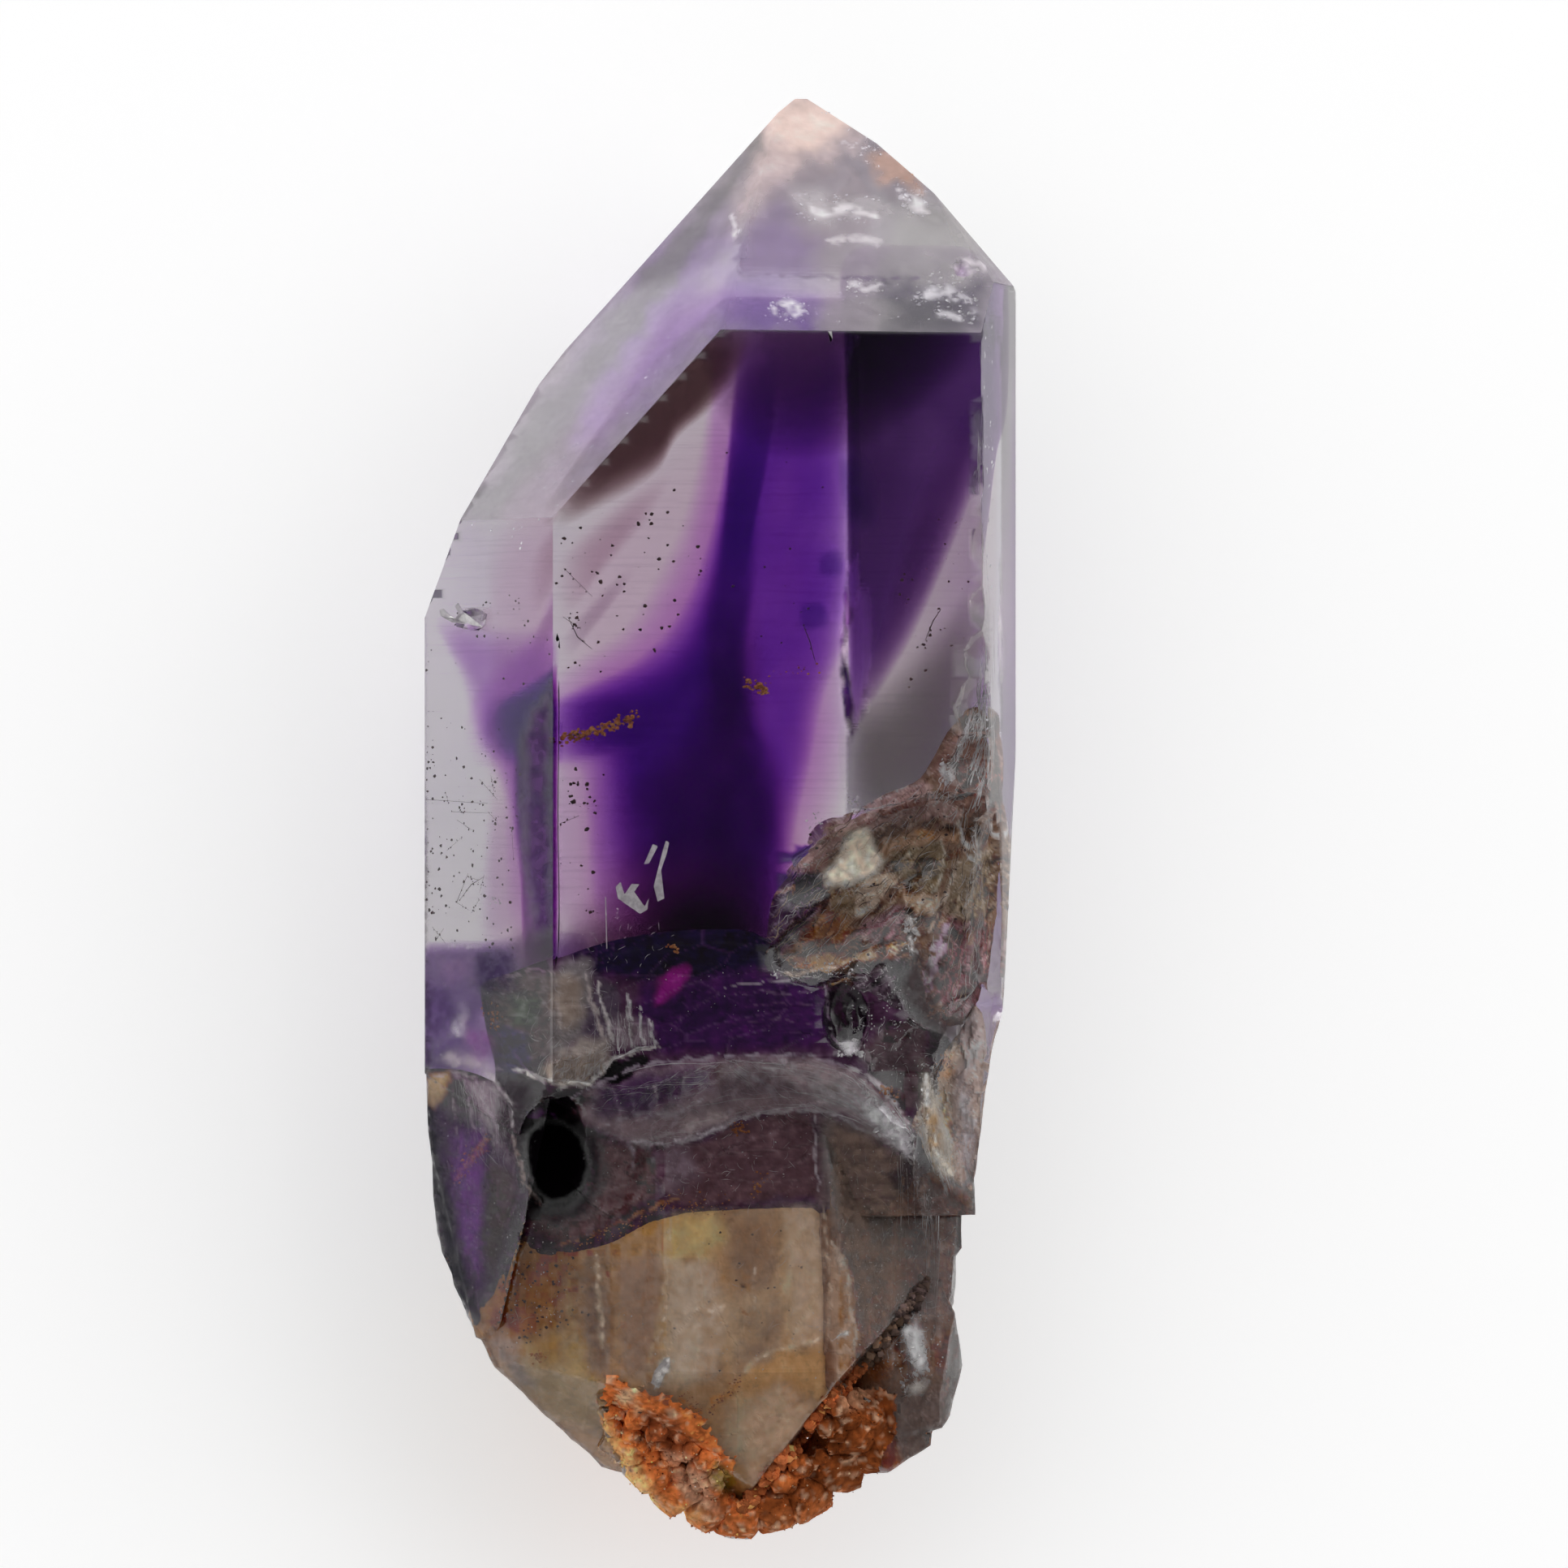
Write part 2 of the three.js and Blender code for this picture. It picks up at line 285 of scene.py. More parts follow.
def bump(tree, value, height, shader):
    """Fine relief of the given height in mm."""
    node = tree.nodes.new("ShaderNodeBump")
    node.inputs["Strength"].default_value = 1
    node.inputs["Distance"].default_value = height * MM
    tree.links.new(value, node.inputs["Height"])
    tree.links.new(node.outputs[0], shader.inputs["Normal"])


TONE_SPREAD = (0.34, 0.66)     # values of the texture noise that most of it lies between
WHITE_TONES = [(196, 190, 194), (242, 240, 240)]
TAN_TONES = [(128, 98, 74), (196, 170, 142)]
ETCHED_TONES = [(176, 172, 182), (236, 234, 238)]
RUST_TONES = [(116, 58, 26), (172, 100, 50), (196, 142, 88)]
SPECK_TONES = [(40, 20, 24), (74, 40, 36)]


def grainy(name, tones, scale, rough):
    """Opaque material whose tone wanders between a few."""
    m, tree, shader, out = material(name, rough=rough)
    value = texture_noise(tree, scale)
    spots = np.linspace(*TONE_SPREAD, len(tones))
    tone_ramp(tree, value, list(zip(spots, tones)), shader.inputs["Base Color"])
    return m


CLOUD_GRAIN = [(0.30, (214, 213, 214)), (0.48, (253, 253, 253)), (0.70, (255, 255, 255))]


def clouded_material(name, rough=0.3, scale=2.0, relief=0.02):
    """Tones painted on the mesh, with finer grain over them; inside the quartz it has hardly any gloss."""
    m, tree, shader, out = material(name, rough=rough)
    shader.inputs["Specular IOR Level"].default_value = 0.05
    value = texture_noise(tree, scale, detail=6, roughness=0.7)
    painted_base(tree, shader, "tone", value, CLOUD_GRAIN)
    bump(tree, value, relief, shader)
    return m


def film_material(name, gloss):
    """Skin of painted tones that cover by a painted share."""
    m, tree, shader, out = material(name, rough=0.6)
    shader.inputs["Specular IOR Level"].default_value = gloss
    attribute(tree, "tone", "Color", shader.inputs["Base Color"])
    attribute(tree, "tone", "Alpha", shader.inputs["Alpha"])
    bump(tree, texture_noise(tree, 3.0), 0.02, shader)
    return m


CLEAR_TAKES = (0.007, 0.009, 0.008)    # light that clear quartz takes up per mm
GROWTH_STRETCH = (0.25, 9.0, 0.25)
GROWTH_LINES = [(0.36, (242, 241, 243)), (0.46, (252, 252, 252)), (0.60, (255, 255, 255))]


def quartz_material():
    """Clear quartz, with faint lines of growth across the crystal."""
    m, tree, shader, out = material("quartz", rough=0.02, transmission=1)
    absorb(tree, out, CLEAR_TAKES)
    attribute(tree, "frost", "Fac", shader.inputs["Roughness"])
    lines = texture_noise(tree, 1.0, detail=4, roughness=0.7, stretch=GROWTH_STRETCH)
    painted_base(tree, shader, "tint", lines, GROWTH_LINES)
    bump(tree, lines, 0.004, shader)
    return m


# Pieces
def new_piece(name, verts, faces, mat, shade_smooth=False):
    mesh = bpy.data.meshes.new(name)
    mesh.from_pydata([tuple(v) for v in verts], [], [tuple(f) for f in faces])
    mesh.validate()
    mesh.update()
    obj = bpy.data.objects.new(name, mesh)
    bpy.context.scene.collection.objects.link(obj)
    mesh.materials.append(mat)
    if shade_smooth:
        mesh.shade_smooth()
    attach(obj, "root")
    return obj


def turn_out(piece):
    """Makes every face of a closed piece point out."""
    bm = bmesh.new()
    bm.from_mesh(piece.data)
    bmesh.ops.recalc_face_normals(bm, faces=bm.faces)
    bm.to_mesh(piece.data)
    bm.free()


def set_tones(mesh, name, colours):
    rgba = np.ones((len(colours), 4), np.float32)
    rgba[:, :colours.shape[1]] = colours
    mesh.attributes.new(name, "FLOAT_COLOR", "POINT").data.foreach_set("color", rgba.ravel())


def edge_points(outline, q):
    """Nearest points of a closed outline to view points, and signed distances, negative inside."""
    a = np.asarray(outline, float)
    b = np.roll(a, -1, axis=0)
    span = b - a
    away = q[:, None] - a
    along = np.clip((away * span).sum(2) / np.maximum((span * span).sum(1), 1e-9), 0, 1)
    spots = a + along[..., None] * span
    gaps = np.linalg.norm(q[:, None] - spots, axis=2)
    best = gaps.argmin(1)
    rows = np.arange(len(q))
    crosses = (a[:, 1] > q[:, 1:]) != (b[:, 1] > q[:, 1:])
    rise = np.where(span[:, 1] == 0, 1e-9, span[:, 1])
    reach = a[:, 0] + (q[:, 1:] - a[:, 1]) * span[:, 0] / rise
    odd = (crosses & (q[:, :1] < reach)).sum(1) % 2 == 1
    gap = gaps[rows, best]
    return spots[rows, best], np.where(odd, -gap, gap)


def line_gap(points, q):
    """Distance of view points to an open line, and how far along it they are, 0 to 1."""
    p = np.asarray(points, float)
    a, span = p[:-1], p[1:] - p[:-1]
    away = q[:, None] - a
    along = np.clip((away * span).sum(2) / np.maximum((span * span).sum(1), 1e-9), 0, 1)
    gaps = np.linalg.norm(away - along[..., None] * span, axis=2)
    best = gaps.argmin(1)
    rows = np.arange(len(q))
    return gaps[rows, best], (best + along[rows, best]) / len(a)


def paint(tone):
    """Display tone, with a cover after it if there is one, to the values that a mesh carries."""
    return np.concatenate([linear(tone[:3]), np.asarray(tone[3:], float)])


def painted(q, ground, areas, strokes, seed, wobble=1.0):
    """Tones at view points: soft areas and broken strokes over a ground tone."""
    q = np.asarray(q, float)
    sway = wobble * (4.0 * cloudy(q / 16, 2, seed) + 5.0 * noise(q / 48, seed + 5))
    drift = np.stack([cloudy(q / 13, 2, seed + 11), cloudy(q / 13, 2, seed + 12)], -1)
    wisp = smooth(-0.7, 0.35, cloudy(q / 7, 2, seed + 15))
    colour = np.tile(paint(ground), (len(q), 1))
    for _, tone, cover, soft, outline in areas:
        _, gap = edge_points(outline, q)
        weight = cover * smooth(soft, -soft, gap + sway)
        colour += (paint(tone) - colour) * weight[:, None]
    for _, tone, cover, width, points in strokes:
        gap, along = line_gap(points, q + 2.6 * drift)
        taper = 0.35 + 0.65 * np.sqrt(np.clip(4 * along * (1 - along), 0, 1))
        weight = cover * wisp * smooth(1.3, 0.3, gap / (width * taper))
        colour += (paint(tone) - colour) * weight[:, None]
    return colour


def fibrous(q, turn, length, width, seed):
    """Fine lines in one direction, from 0 to 1."""
    a = math.radians(turn)
    along = q[:, 0] * math.cos(a) - q[:, 1] * math.sin(a)
    across = q[:, 0] * math.sin(a) + q[:, 1] * math.cos(a) + 3 * noise(q / 30, seed + 2)
    ridge = 1 - np.abs(noise(np.stack([along / length, across / width], -1), seed))
    return smooth(0.72, 1.0, ridge) * smooth(-0.2, 0.5, noise(q / 19, seed + 1))


def broken(q, colour, size, turn, stretch, contrast, grain, glint, seed, spots=0.0):
    """Painted tones broken into facets, with painted highlights along their edges and painted glints; also
    the facets' relief, from -1 to 1.
    """
    bent = q + 5 * np.stack([noise(q / 34, seed), noise(q / 34, seed + 1)], -1)
    value, spot, edge = facets(bent, size, seed, turn, stretch)
    small, _, small_edge = facets(bent, 0.4 * size, seed + 30, turn, stretch)
    mottle = 2 * value[:, 0] - 1 + 0.5 * (2 * small[:, 0] - 1)
    shade = contrast * mottle + grain * cloudy(q / 8, 3, seed + 9)
    # Painted highlights along the facets' edges, and painted glints on a few small facets
    lines = smooth(0.12, 0.0, edge) * (value[:, 1] > 0.55)
    small_edge_highlights = 0.7 * smooth(0.14, 0.0, small_edge) * (small[:, 1] > 0.8)
    shine = glint * (lines + small_edge_highlights) + spots * (small[:, 2] > 0.965)
    colour = colour * np.exp(shade + 0.9 * shine)[:, None] + 0.04 * shine[:, None]
    tilt = 1.6 * (spot * (2 * value[:, 1:] - 1)).sum(1)
    return colour, 0.5 * (2 * value[:, 2] - 1) + tilt + 0.3 * (2 * small[:, 1] - 1)


# The crystal's own surface. Rows are an axis and a step in mm; arches are a centre and a radius in mm
ROW_STEPS = ((1, 0.25), (0, 0.7), (2, 0.7))
ROW_START = 0.013      # keeps the rows off the corners of the solid, mm
BREAK_EDGE = 0.34      # longest edge of the faces that carry relief, mm
ON_FACE = 0.004        # how near to a face a point is on it, mm
BREAK_FROST = 0.07     # roughness of the breaks
RELIEF_RANGE = (-0.12, 0.10)   # lowest and highest relief, mm
ARCHES = (((-0.5, -17.6, 14.0), 11.0), ((-7.0, -17.0, 13.0), 9.3))
ARCH_SPRING = (3.0, -9.0, 6.0)     # where the ripples of the arches spread from
FLAT_FACES = [(n, d) for n, d, _ in FACES.values()]

# Tints of the quartz: name, tone, cover, softness in pixels and outline
NO_TINT = (255, 255, 255)
TINTS = [
    ("left upper", (236, 224, 242), 1.0, 40, [(560, 650), (640, 640), (690, 650), (680, 800), (560, 800)]),
]


def cut_rows(bm):
    """Cuts the mesh along even rows, so that its faces can carry relief and tint."""
    for axis, step in ROW_STEPS:
        low = cad_lo[axis] / MM
        count = int((cad_hi[axis] / MM - low) / step)
        normal = [0, 0, 0]
        normal[axis] = 1
        for k in range(1, count + 1):
            co = [0, 0, 0]
            co[axis] = (low + k * step + ROW_START) * MM
            geom = bm.verts[:] + bm.edges[:] + bm.faces[:]
            bmesh.ops.bisect_plane(bm, geom=geom, dist=1e-7, plane_co=co, plane_no=normal)


def on_planes(p, planes, slack=ON_FACE):
    """Which points lie on one of the planes."""
    on = np.zeros(len(p), bool)
    for n, d in planes:
        on |= np.abs(p @ n - d) < slack
    return on


def refine_breaks(bm):
    """Divides the faces that lie on no flat face of the crystal, so that they can carry relief."""
    centres = np.array([f.calc_center_median() for f in bm.faces]) / MM - SHIFT
    flat = on_planes(centres, FLAT_FACES, 0.02)
    rough_faces = [f for f, on in zip(bm.faces, flat) if not on]
    for _ in range(2):
        edges = {e for f in rough_faces for e in f.edges if e.calc_length() > BREAK_EDGE * MM}
        made = bmesh.ops.subdivide_edges(bm, edges=list(edges), cuts=1, use_grid_fill=True)
        rough_faces = list({f for f in made["geom"] if isinstance(f, bmesh.types.BMFace)}
                           | {f for f in rough_faces if f.is_valid})
    bmesh.ops.triangulate(bm, faces=[f for f in bm.faces if len(f.verts) > 4])


def frost_at(p):
    """Roughness of the surface at points."""
    frost = np.full(len(p), BREAK_FROST)
    for n, d, rough in FACES.values():
        frost[np.abs(p @ n - d) < ON_FACE] = rough
    return frost


def relief_at(p):
    """Height of the relief at points, in mm: uneven breaks, ripples on the arches, none on flat faces."""
    free = ~(on_planes(p, FLAT_FACES) | on_planes(p, STEM_FACES))
    relief = np.where(free, 0.04 * cloudy(p * 1.3, 2, 3) + 0.014 * cloudy(p * 4.1, 2, 7), 0)
    for centre, radius in ARCHES:
        on_arch = free & (np.abs(np.linalg.norm(p - centre, axis=1) - radius) < 0.12)
        swing = np.linalg.norm(p - ARCH_SPRING, axis=1)
        ripple = 0.03 * np.sin(swing * 9.0) + 0.012 * np.sin(swing * 23.0)
        relief = np.where(on_arch, ripple, relief)
    return np.clip(relief, *RELIEF_RANGE)


def crystal_piece():
    """The whole crystal: the solid's own surface, with relief on its breaks, frost and tint."""
    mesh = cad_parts["amethyst_scepter"].data.copy()
    mesh.name = "crystal"
    obj = bpy.data.objects.new("crystal", mesh)
    bpy.context.scene.collection.objects.link(obj)
    mesh.materials.clear()
    mesh.materials.append(quartz_material())
    bm = bmesh.new()
    bm.from_mesh(mesh)
    bmesh.ops.remove_doubles(bm, verts=bm.verts, dist=1e-7)
    bmesh.ops.dissolve_limit(bm, angle_limit=math.radians(0.2), verts=bm.verts, edges=bm.edges)
    cut_rows(bm)
    refine_breaks(bm)
    bm.normal_update()
    p = np.array([v.co for v in bm.verts]) / MM - SHIFT
    normal = np.array([v.normal for v in bm.verts])
    moved = p + normal * relief_at(p)[:, None]
    for v, q in zip(bm.verts, place(np.clip(moved, LOW, HIGH))):
        v.co = Vector(q)
    bm.to_mesh(mesh)
    bm.free()
    mesh.set_sharp_from_angle(angle=math.radians(24))
    facing = (normal @ BACK > 0)[:, None]
    shade = painted(pixel_of(p), NO_TINT, TINTS, [], seed=1, wobble=2.0)
    frost = frost_at(p).astype(np.float32)
    mesh.attributes.new("frost", "FLOAT", "POINT").data.foreach_set("value", frost)
    set_tones(mesh, "tint", np.where(facing, shade, 1.0))
    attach(obj, "root")
    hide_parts("amethyst_scepter")
    return obj


crystal = crystal_piece()
skin = BVHTree.FromPolygons([v.co for v in crystal.data.vertices],
                            [tuple(f.vertices) for f in crystal.data.polygons])


def surface(px, py):
    """Layout point and normal of the crystal's surface behind a pixel of the view."""
    hit, normal, _, _ = skin.ray_cast(Vector(place(EYE)), Vector(sight(px, py)))
    if hit is None:
        return None, None
    return np.array(hit) / MM - SHIFT, np.array(normal)


def surfaces(points):
    """Surface points and normals behind the view points that show the crystal."""
    for q in points:
        at, n = surface(*q)
        if at is not None:
            yield at, n


def way_through(point, direction):
    """Length of quartz in mm from a surface point along a direction."""
    start = Vector(place(point + direction * 0.02))
    hit, _, _, distance = skin.ray_cast(start, Vector(direction))
    return 0.0 if hit is None else distance / MM


def spline_loop(points, per=6):
    """Closed smooth curve through view points."""
    p = np.asarray(points, float)
    n = len(p)
    out = []
    for i in range(n):
        a, b, c, d = p[i - 1], p[i], p[(i + 1) % n], p[(i + 2) % n]
        for k in range(per):
            t = k / per
            out.append(0.5 * ((2 * b) + (c - a) * t + (2 * a - 5 * b + 4 * c - d) * t * t
                              + (3 * b - a - 3 * c + d) * t ** 3))
    return np.array(out)


# Colour zones; base and foot_shade are largely painted shade of the lower head
LENS_RINGS = 12


def kept_in(points, margin=0.05):
    """Moves points that are past a face of the crystal back to just inside it."""
    for n, d, _ in FACES.values():
        points = points - n * np.maximum(points @ n - (d - margin), 0)[:, None]
    return points


def lens_faces(n):
    """Faces of a lens n points round: on each side rings about a middle point, and one rim for both."""
    side_size = 1 + (LENS_RINGS - 1) * n

    def point(side, r, k):
        if r == LENS_RINGS:
            return 2 * side_size + k % n
        if r == 0:
            return side * side_size
        return side * side_size + 1 + (r - 1) * n + k % n

    faces = []
    for side, r, k in itertools.product((0, 1), range(LENS_RINGS), range(n)):
        quad = [point(side, r, k), point(side, r + 1, k), point(side, r + 1, k + 1), point(side, r, k + 1)]
        quad = list(dict.fromkeys(quad))
        faces.append(quad if side else quad[::-1])
    return faces


def lens(name, outline, centre, mid, thickness, mat, power=1.6, flat=0.0, face="front", uneven=0.0):
    """Closed lens below a face: outline in view pixels, depth of its middle and its thickness in mm.
    Its thickness falls off smoothly to the rim, from the share "flat" of the way out."""
    loop = spline_loop(outline)
    c = np.array(centre, float)
    shares = [r / LENS_RINGS for r in range(1, LENS_RINGS)]
    share = np.concatenate([[0.0]] + [np.full(len(loop), s) for s in shares])
    q = np.concatenate([[c]] + [c + (loop - c) * s for s in shares])
    fall = np.clip((share - flat) / (1 - flat), 0, 1)
    half = 0.5 * thickness * (1 - fall * fall) ** power * (1 + uneven * cloudy(q / 60, 3, len(name)))
    verts = [behind(*p, mid - h, face) for p, h in zip(q, half)]
    verts += [behind(*p, mid + h, face) for p, h in zip(q, half)]
    verts += [behind(*p, mid, face) for p in loop]
    verts = [place(v) for v in kept_in(np.array(verts))]
    turn_out(new_piece(name, verts, lens_faces(len(loop)), mat, shade_smooth=True))


# Name, strength for red, green and blue light, outline, centre, depth of the middle in mm, thickness in
# mm, options
ZONES = [
    ("haze", (0.10, 0.30, 0.17),
     [(690, 640), (890, 430), (1036, 430), (1046, 700), (1046, 1000), (1000, 1250), (700, 1250),
      (670, 1000), (675, 800)], (870, 850), 7.0, 5.0, {"flat": 0.6}),
    ("fringe", (0.30, 0.95, 0.14),
     [(890, 412), (1000, 404), (1050, 410), (1060, 540), (1060, 700), (1056, 790), (1052, 900),
      (1040, 985), (1004, 1060), (985, 1180), (900, 1250), (790, 1240), (722, 1140), (712, 1020),
      (700, 965), (655, 935), (640, 880), (690, 825), (760, 780), (805, 715), (840, 640), (862, 550),
      (875, 470)], (885, 850), 7.5, 4.0, {"flat": 0.5, "power": 1.2, "uneven": 0.15}),
    ("body", (1.35, 2.5, 0.48),
     [(925, 406), (1000, 404), (1050, 408), (1060, 540), (1060, 700), (1046, 780), (1016, 860),
      (1000, 940), (980, 1030), (962, 1180), (900, 1240), (800, 1220), (734, 1130), (722, 1010), (712, 950),
      (676, 936), (660, 880), (700, 852), (780, 815), (835, 755), (872, 665), (893, 560), (905, 470)],
     (905, 850), 5.5, 5.0, {"flat": 0.58, "power": 1.3, "uneven": 0.16}),
    ("spine", (1.1, 1.8, 0.70),
     [(915, 412), (960, 420), (955, 520), (940, 600), (935, 700), (925, 790), (935, 880), (962, 960),
      (968, 1080), (955, 1190), (900, 1230), (820, 1200), (770, 1120), (745, 1010), (740, 945), (700, 935),
      (676, 905), (700, 862), (770, 842), (830, 800), (865, 730), (885, 650), (897, 560), (905, 470)],
     (880, 880), 8.6, 4.0, {"flat": 0.5, "uneven": 0.2}),
    ("core", (0.55, 1.0, 0.85),
     [(872, 700), (925, 690), (945, 780), (950, 880), (978, 960), (990, 1050), (975, 1150), (880, 1200),
      (760, 1170), (733, 1070), (752, 980), (800, 930), (842, 880), (862, 800)], (895, 950), 3.4, 2.0,
     {"flat": 0.1, "uneven": 0.3}),
    ("low_core", (0.35, 0.6, 0.9),
     [(735, 1060), (850, 1020), (955, 1050), (975, 1120), (965, 1200), (860, 1240), (740, 1200)],
     (860, 1130), 2.2, 2.0, {"flat": 0.2}),
    ("top", (2.5, 3.5, 2.3),
     [(850, 372), (1000, 366), (1110, 366), (1196, 372), (1200, 440), (1130, 510), (1050, 560), (960, 565),
      (896, 530), (862, 450)], (1010, 398), 1.05, 2.0, {"flat": 0.10, "power": 1.1}),
    ("right_up", (2.1, 3.3, 1.5),
     [(1043, 330), (1120, 300), (1260, 330), (1262, 500), (1218, 560), (1176, 668), (1124, 786),
      (1070, 874), (1048, 900), (1044, 700), (1043, 520)], (1080, 470), 2.6, 3.0,
     {"flat": 0.76, "power": 1.0, "uneven": 0.10}),
    ("right_grey", (0.14, 0.22, 0.22),
     [(1140, 580), (1222, 500), (1226, 700), (1215, 800), (1180, 900), (1130, 990), (1050, 1000),
      (1044, 960), (1046, 870), (1080, 790)], (1130, 800), 2.4, 2.6, {"flat": 0.6}),
    ("right_smoke", (1.15, 1.15, 1.2),
     [(1036, 880), (1080, 842), (1120, 800), (1165, 750), (1215, 720), (1222, 900), (1175, 985),
      (1120, 1040), (1060, 1054), (1036, 990)], (1110, 950), 1.8, 2.0, {"flat": 0.3}),
    ("corner", (2.2, 2.9, 2.8),
     [(872, 372), (925, 412), (910, 462), (876, 505), (836, 540), (812, 580), (778, 606), (738, 628),
      (690, 650), (680, 620), (735, 505), (805, 420)], (820, 495), 1.1, 2.0, {"flat": 0.45}),
    ("streak", (0.30, 0.50, 0.38),
     [(688, 690), (735, 640), (800, 590), (830, 585), (800, 640), (750, 700), (700, 760), (686, 750)],
     (750, 670), 3.0, 1.4, {"flat": 0.1}),
    ("streak_low", (0.30, 0.42, 0.30),
     [(690, 790), (720, 750), (770, 700), (782, 706), (745, 760), (700, 812)], (735, 755), 3.0, 1.0,
     {"flat": 0.1}),
    ("lilac_blot", (0.7, 0.8, 0.4),
     [(1030, 560), (1060, 555), (1082, 590), (1080, 650), (1050, 655), (1035, 620)], (1057, 605), 3.0, 1.0,
     {"flat": 0.2, "uneven": 0.5}),
    ("blot_mid", (0.6, 0.7, 0.35), [(1010, 680), (1038, 676), (1040, 710), (1008, 712)], (1022, 695), 3.0,
     1.0, {"flat": 0.3, "uneven": 0.5}),
    ("small_blot", (0.7, 0.8, 0.4), [(985, 745), (1015, 742), (1024, 772), (985, 776)], (1002, 760), 3.0,
     1.0, {"flat": 0.5, "uneven": 0.5}),
    ("pink_window", (0.10, 0.32, 0.08), [(680, 930), (745, 940), (752, 1010), (750, 1140), (682, 1140)],
     (715, 1040), 1.6, 1.0, {"flat": 0.5}),
    # Base: partly the quartz's violet, mostly painted shade of the lower head
    ("base", (1.6, 2.1, 1.6),
     [(684, 1145), (800, 1118), (900, 1100), (960, 1130), (1000, 1200), (1060, 1230), (1060, 1300),
      (950, 1320), (850, 1310), (720, 1330), (680, 1290), (676, 1200)], (860, 1215), 5.0, 4.0,
     {"flat": 0.45}),
    ("foot_shade", (1.0, 1.5, 1.0),
     [(686, 1130), (740, 1090), (850, 1070), (960, 1090), (985, 1150), (960, 1220), (700, 1230),
      (684, 1180)], (840, 1160), 2.0, 2.0, {"flat": 0.25, "uneven": 0.3}),
    ("left_violet", (0.50, 1.05, 0.28),
     [(536, 760), (566, 838), (583, 905), (606, 945), (628, 1010), (640, 1080), (660, 1060), (684, 1000),
      (684, 860), (684, 780), (620, 770)], (630, 860), 0.18, 0.2, {"flat": 0.45, "face": "left"}),
    ("left_dark", (1.15, 3.1, 0.85),
     [(634, 915), (652, 880), (686, 820), (687, 1000), (686, 1180), (648, 1190), (640, 1080), (634, 1010)],
     (662, 1010), 0.14, 0.16, {"flat": 0.70, "face": "left"}),
    ("left_low", (1.35, 2.0, 0.95),
     [(500, 1168), (600, 1158), (690, 1150), (692, 1240), (690, 1340), (600, 1335), (500, 1330),
      (500, 1240)], (600, 1245), 2.0, 3.0, {"flat": 0.7, "face": "left", "uneven": 0.55}),
    ("left_low_dark", (0.8, 1.0, 0.5), [(586, 1172), (632, 1168), (640, 1220), (600, 1236), (582, 1210)],
     (608, 1200), 0.9, 1.0, {"flat": 0.4, "face": "left", "uneven": 0.35}),
    ("left_low_edge", (0.5, 0.9, 0.25), [(500, 1215), (575, 1195), (600, 1260), (560, 1320), (500, 1325)],
     (550, 1265), 0.9, 1.0, {"flat": 0.3, "face": "left", "uneven": 0.35}),
    ("left_haze", (0.16, 0.30, 0.12), [(600, 990), (640, 980), (660, 1100), (640, 1170), (590, 1170)],
     (620, 1090), 2.2, 2.0, {"flat": 0.3, "face": "left"}),
]
for name, strength, outline, centre, mid, thickness, options in ZONES:
    zone_mat = zone_material("zone_" + name, np.array(strength) / thickness)
    lens("zone_" + name, outline, centre, mid, thickness, zone_mat, **options)


# Clouded bodies just under the surface
# Light on a matt body under quartz: the skin lets some of it out and sends the rest back to the body
CLOUD_LIGHT = 0.50
SKIN_OUT = 0.364
SKIN_BACK = 0.60
PALEST = 0.93
SKY_STRENGTH = 1.6
# How bright the studio is by height, from the floor at 0 to overhead at 1
SKY = ((0.0, 1.0), (0.75, 1.0), (0.93, 0.10), (1.0, 0.05))
# How bright it is from the foot's side, at 0, to the head's side, at 1
SKY_SIDE = ((0.0, 0.20), (0.38, 0.20), (0.62, 1.0), (1.0, 1.0))
# What quartz mirrors of light that meets it straight on, and what reaches the camera besides
FACING_SHARE = 0.046
STRAY_LIGHT = 0.006
FRONT_IN = bend(sight(MIDDLE, MIDDLE), FACES["front"][0])
LEFT_IN = bend(sight(MIDDLE, MIDDLE), FACES["left"][0])


def glare(normal):
    """Light that the quartz surface itself sends to the camera."""
    ray = sight(MIDDLE, MIDDLE)
    cos_in = -normal @ ray
    way = ray + 2 * cos_in[:, None] * normal
    side = np.interp(0.5 + 0.5 * way[:, 1], *zip(*SKY_SIDE))
    bright = SKY_STRENGTH * np.interp(way[:, 2], *zip(*SKY)) * side
    return bright * (FACING_SHARE + (1 - FACING_SHARE) * (1 - cos_in) ** 5) + STRAY_LIGHT


def base_tones(seen):
    """Base colours of a matt body under the skin that are seen as the given tones."""
    return np.minimum(seen / (SKIN_OUT * CLOUD_LIGHT + SKIN_BACK * seen), PALEST)


def cloud_depths(room, fold, shallow, deep, crumple):
    """Depths of a clouded body's top, bottom and rim in mm, where there is some room of quartz."""
    near = np.minimum(shallow + np.clip(crumple * fold, -0.6 * shallow, 2 * crumple), 0.45 * room)
    far = np.maximum(np.minimum(deep, room - 0.4), near + 0.02)
    return near, far, near + 0.12 * (far - near)


def cloud_faces(cells, used, inside):
    """Faces of a closed body from the cells of its top. Top and bottom share what isn't inside."""
    top = {i: k for k, i in enumerate(used)}
    bottom = dict(top)
    bottom.update({used[k]: len(used) + j for j, k in enumerate(inside)})
    faces = []
    for cell in cells:
        faces.append([top[i] for i in dict.fromkeys(cell)])
        faces.append([bottom[i] for i in dict.fromkeys(cell[::-1])])
    return [f for f in faces if len(f) > 2]


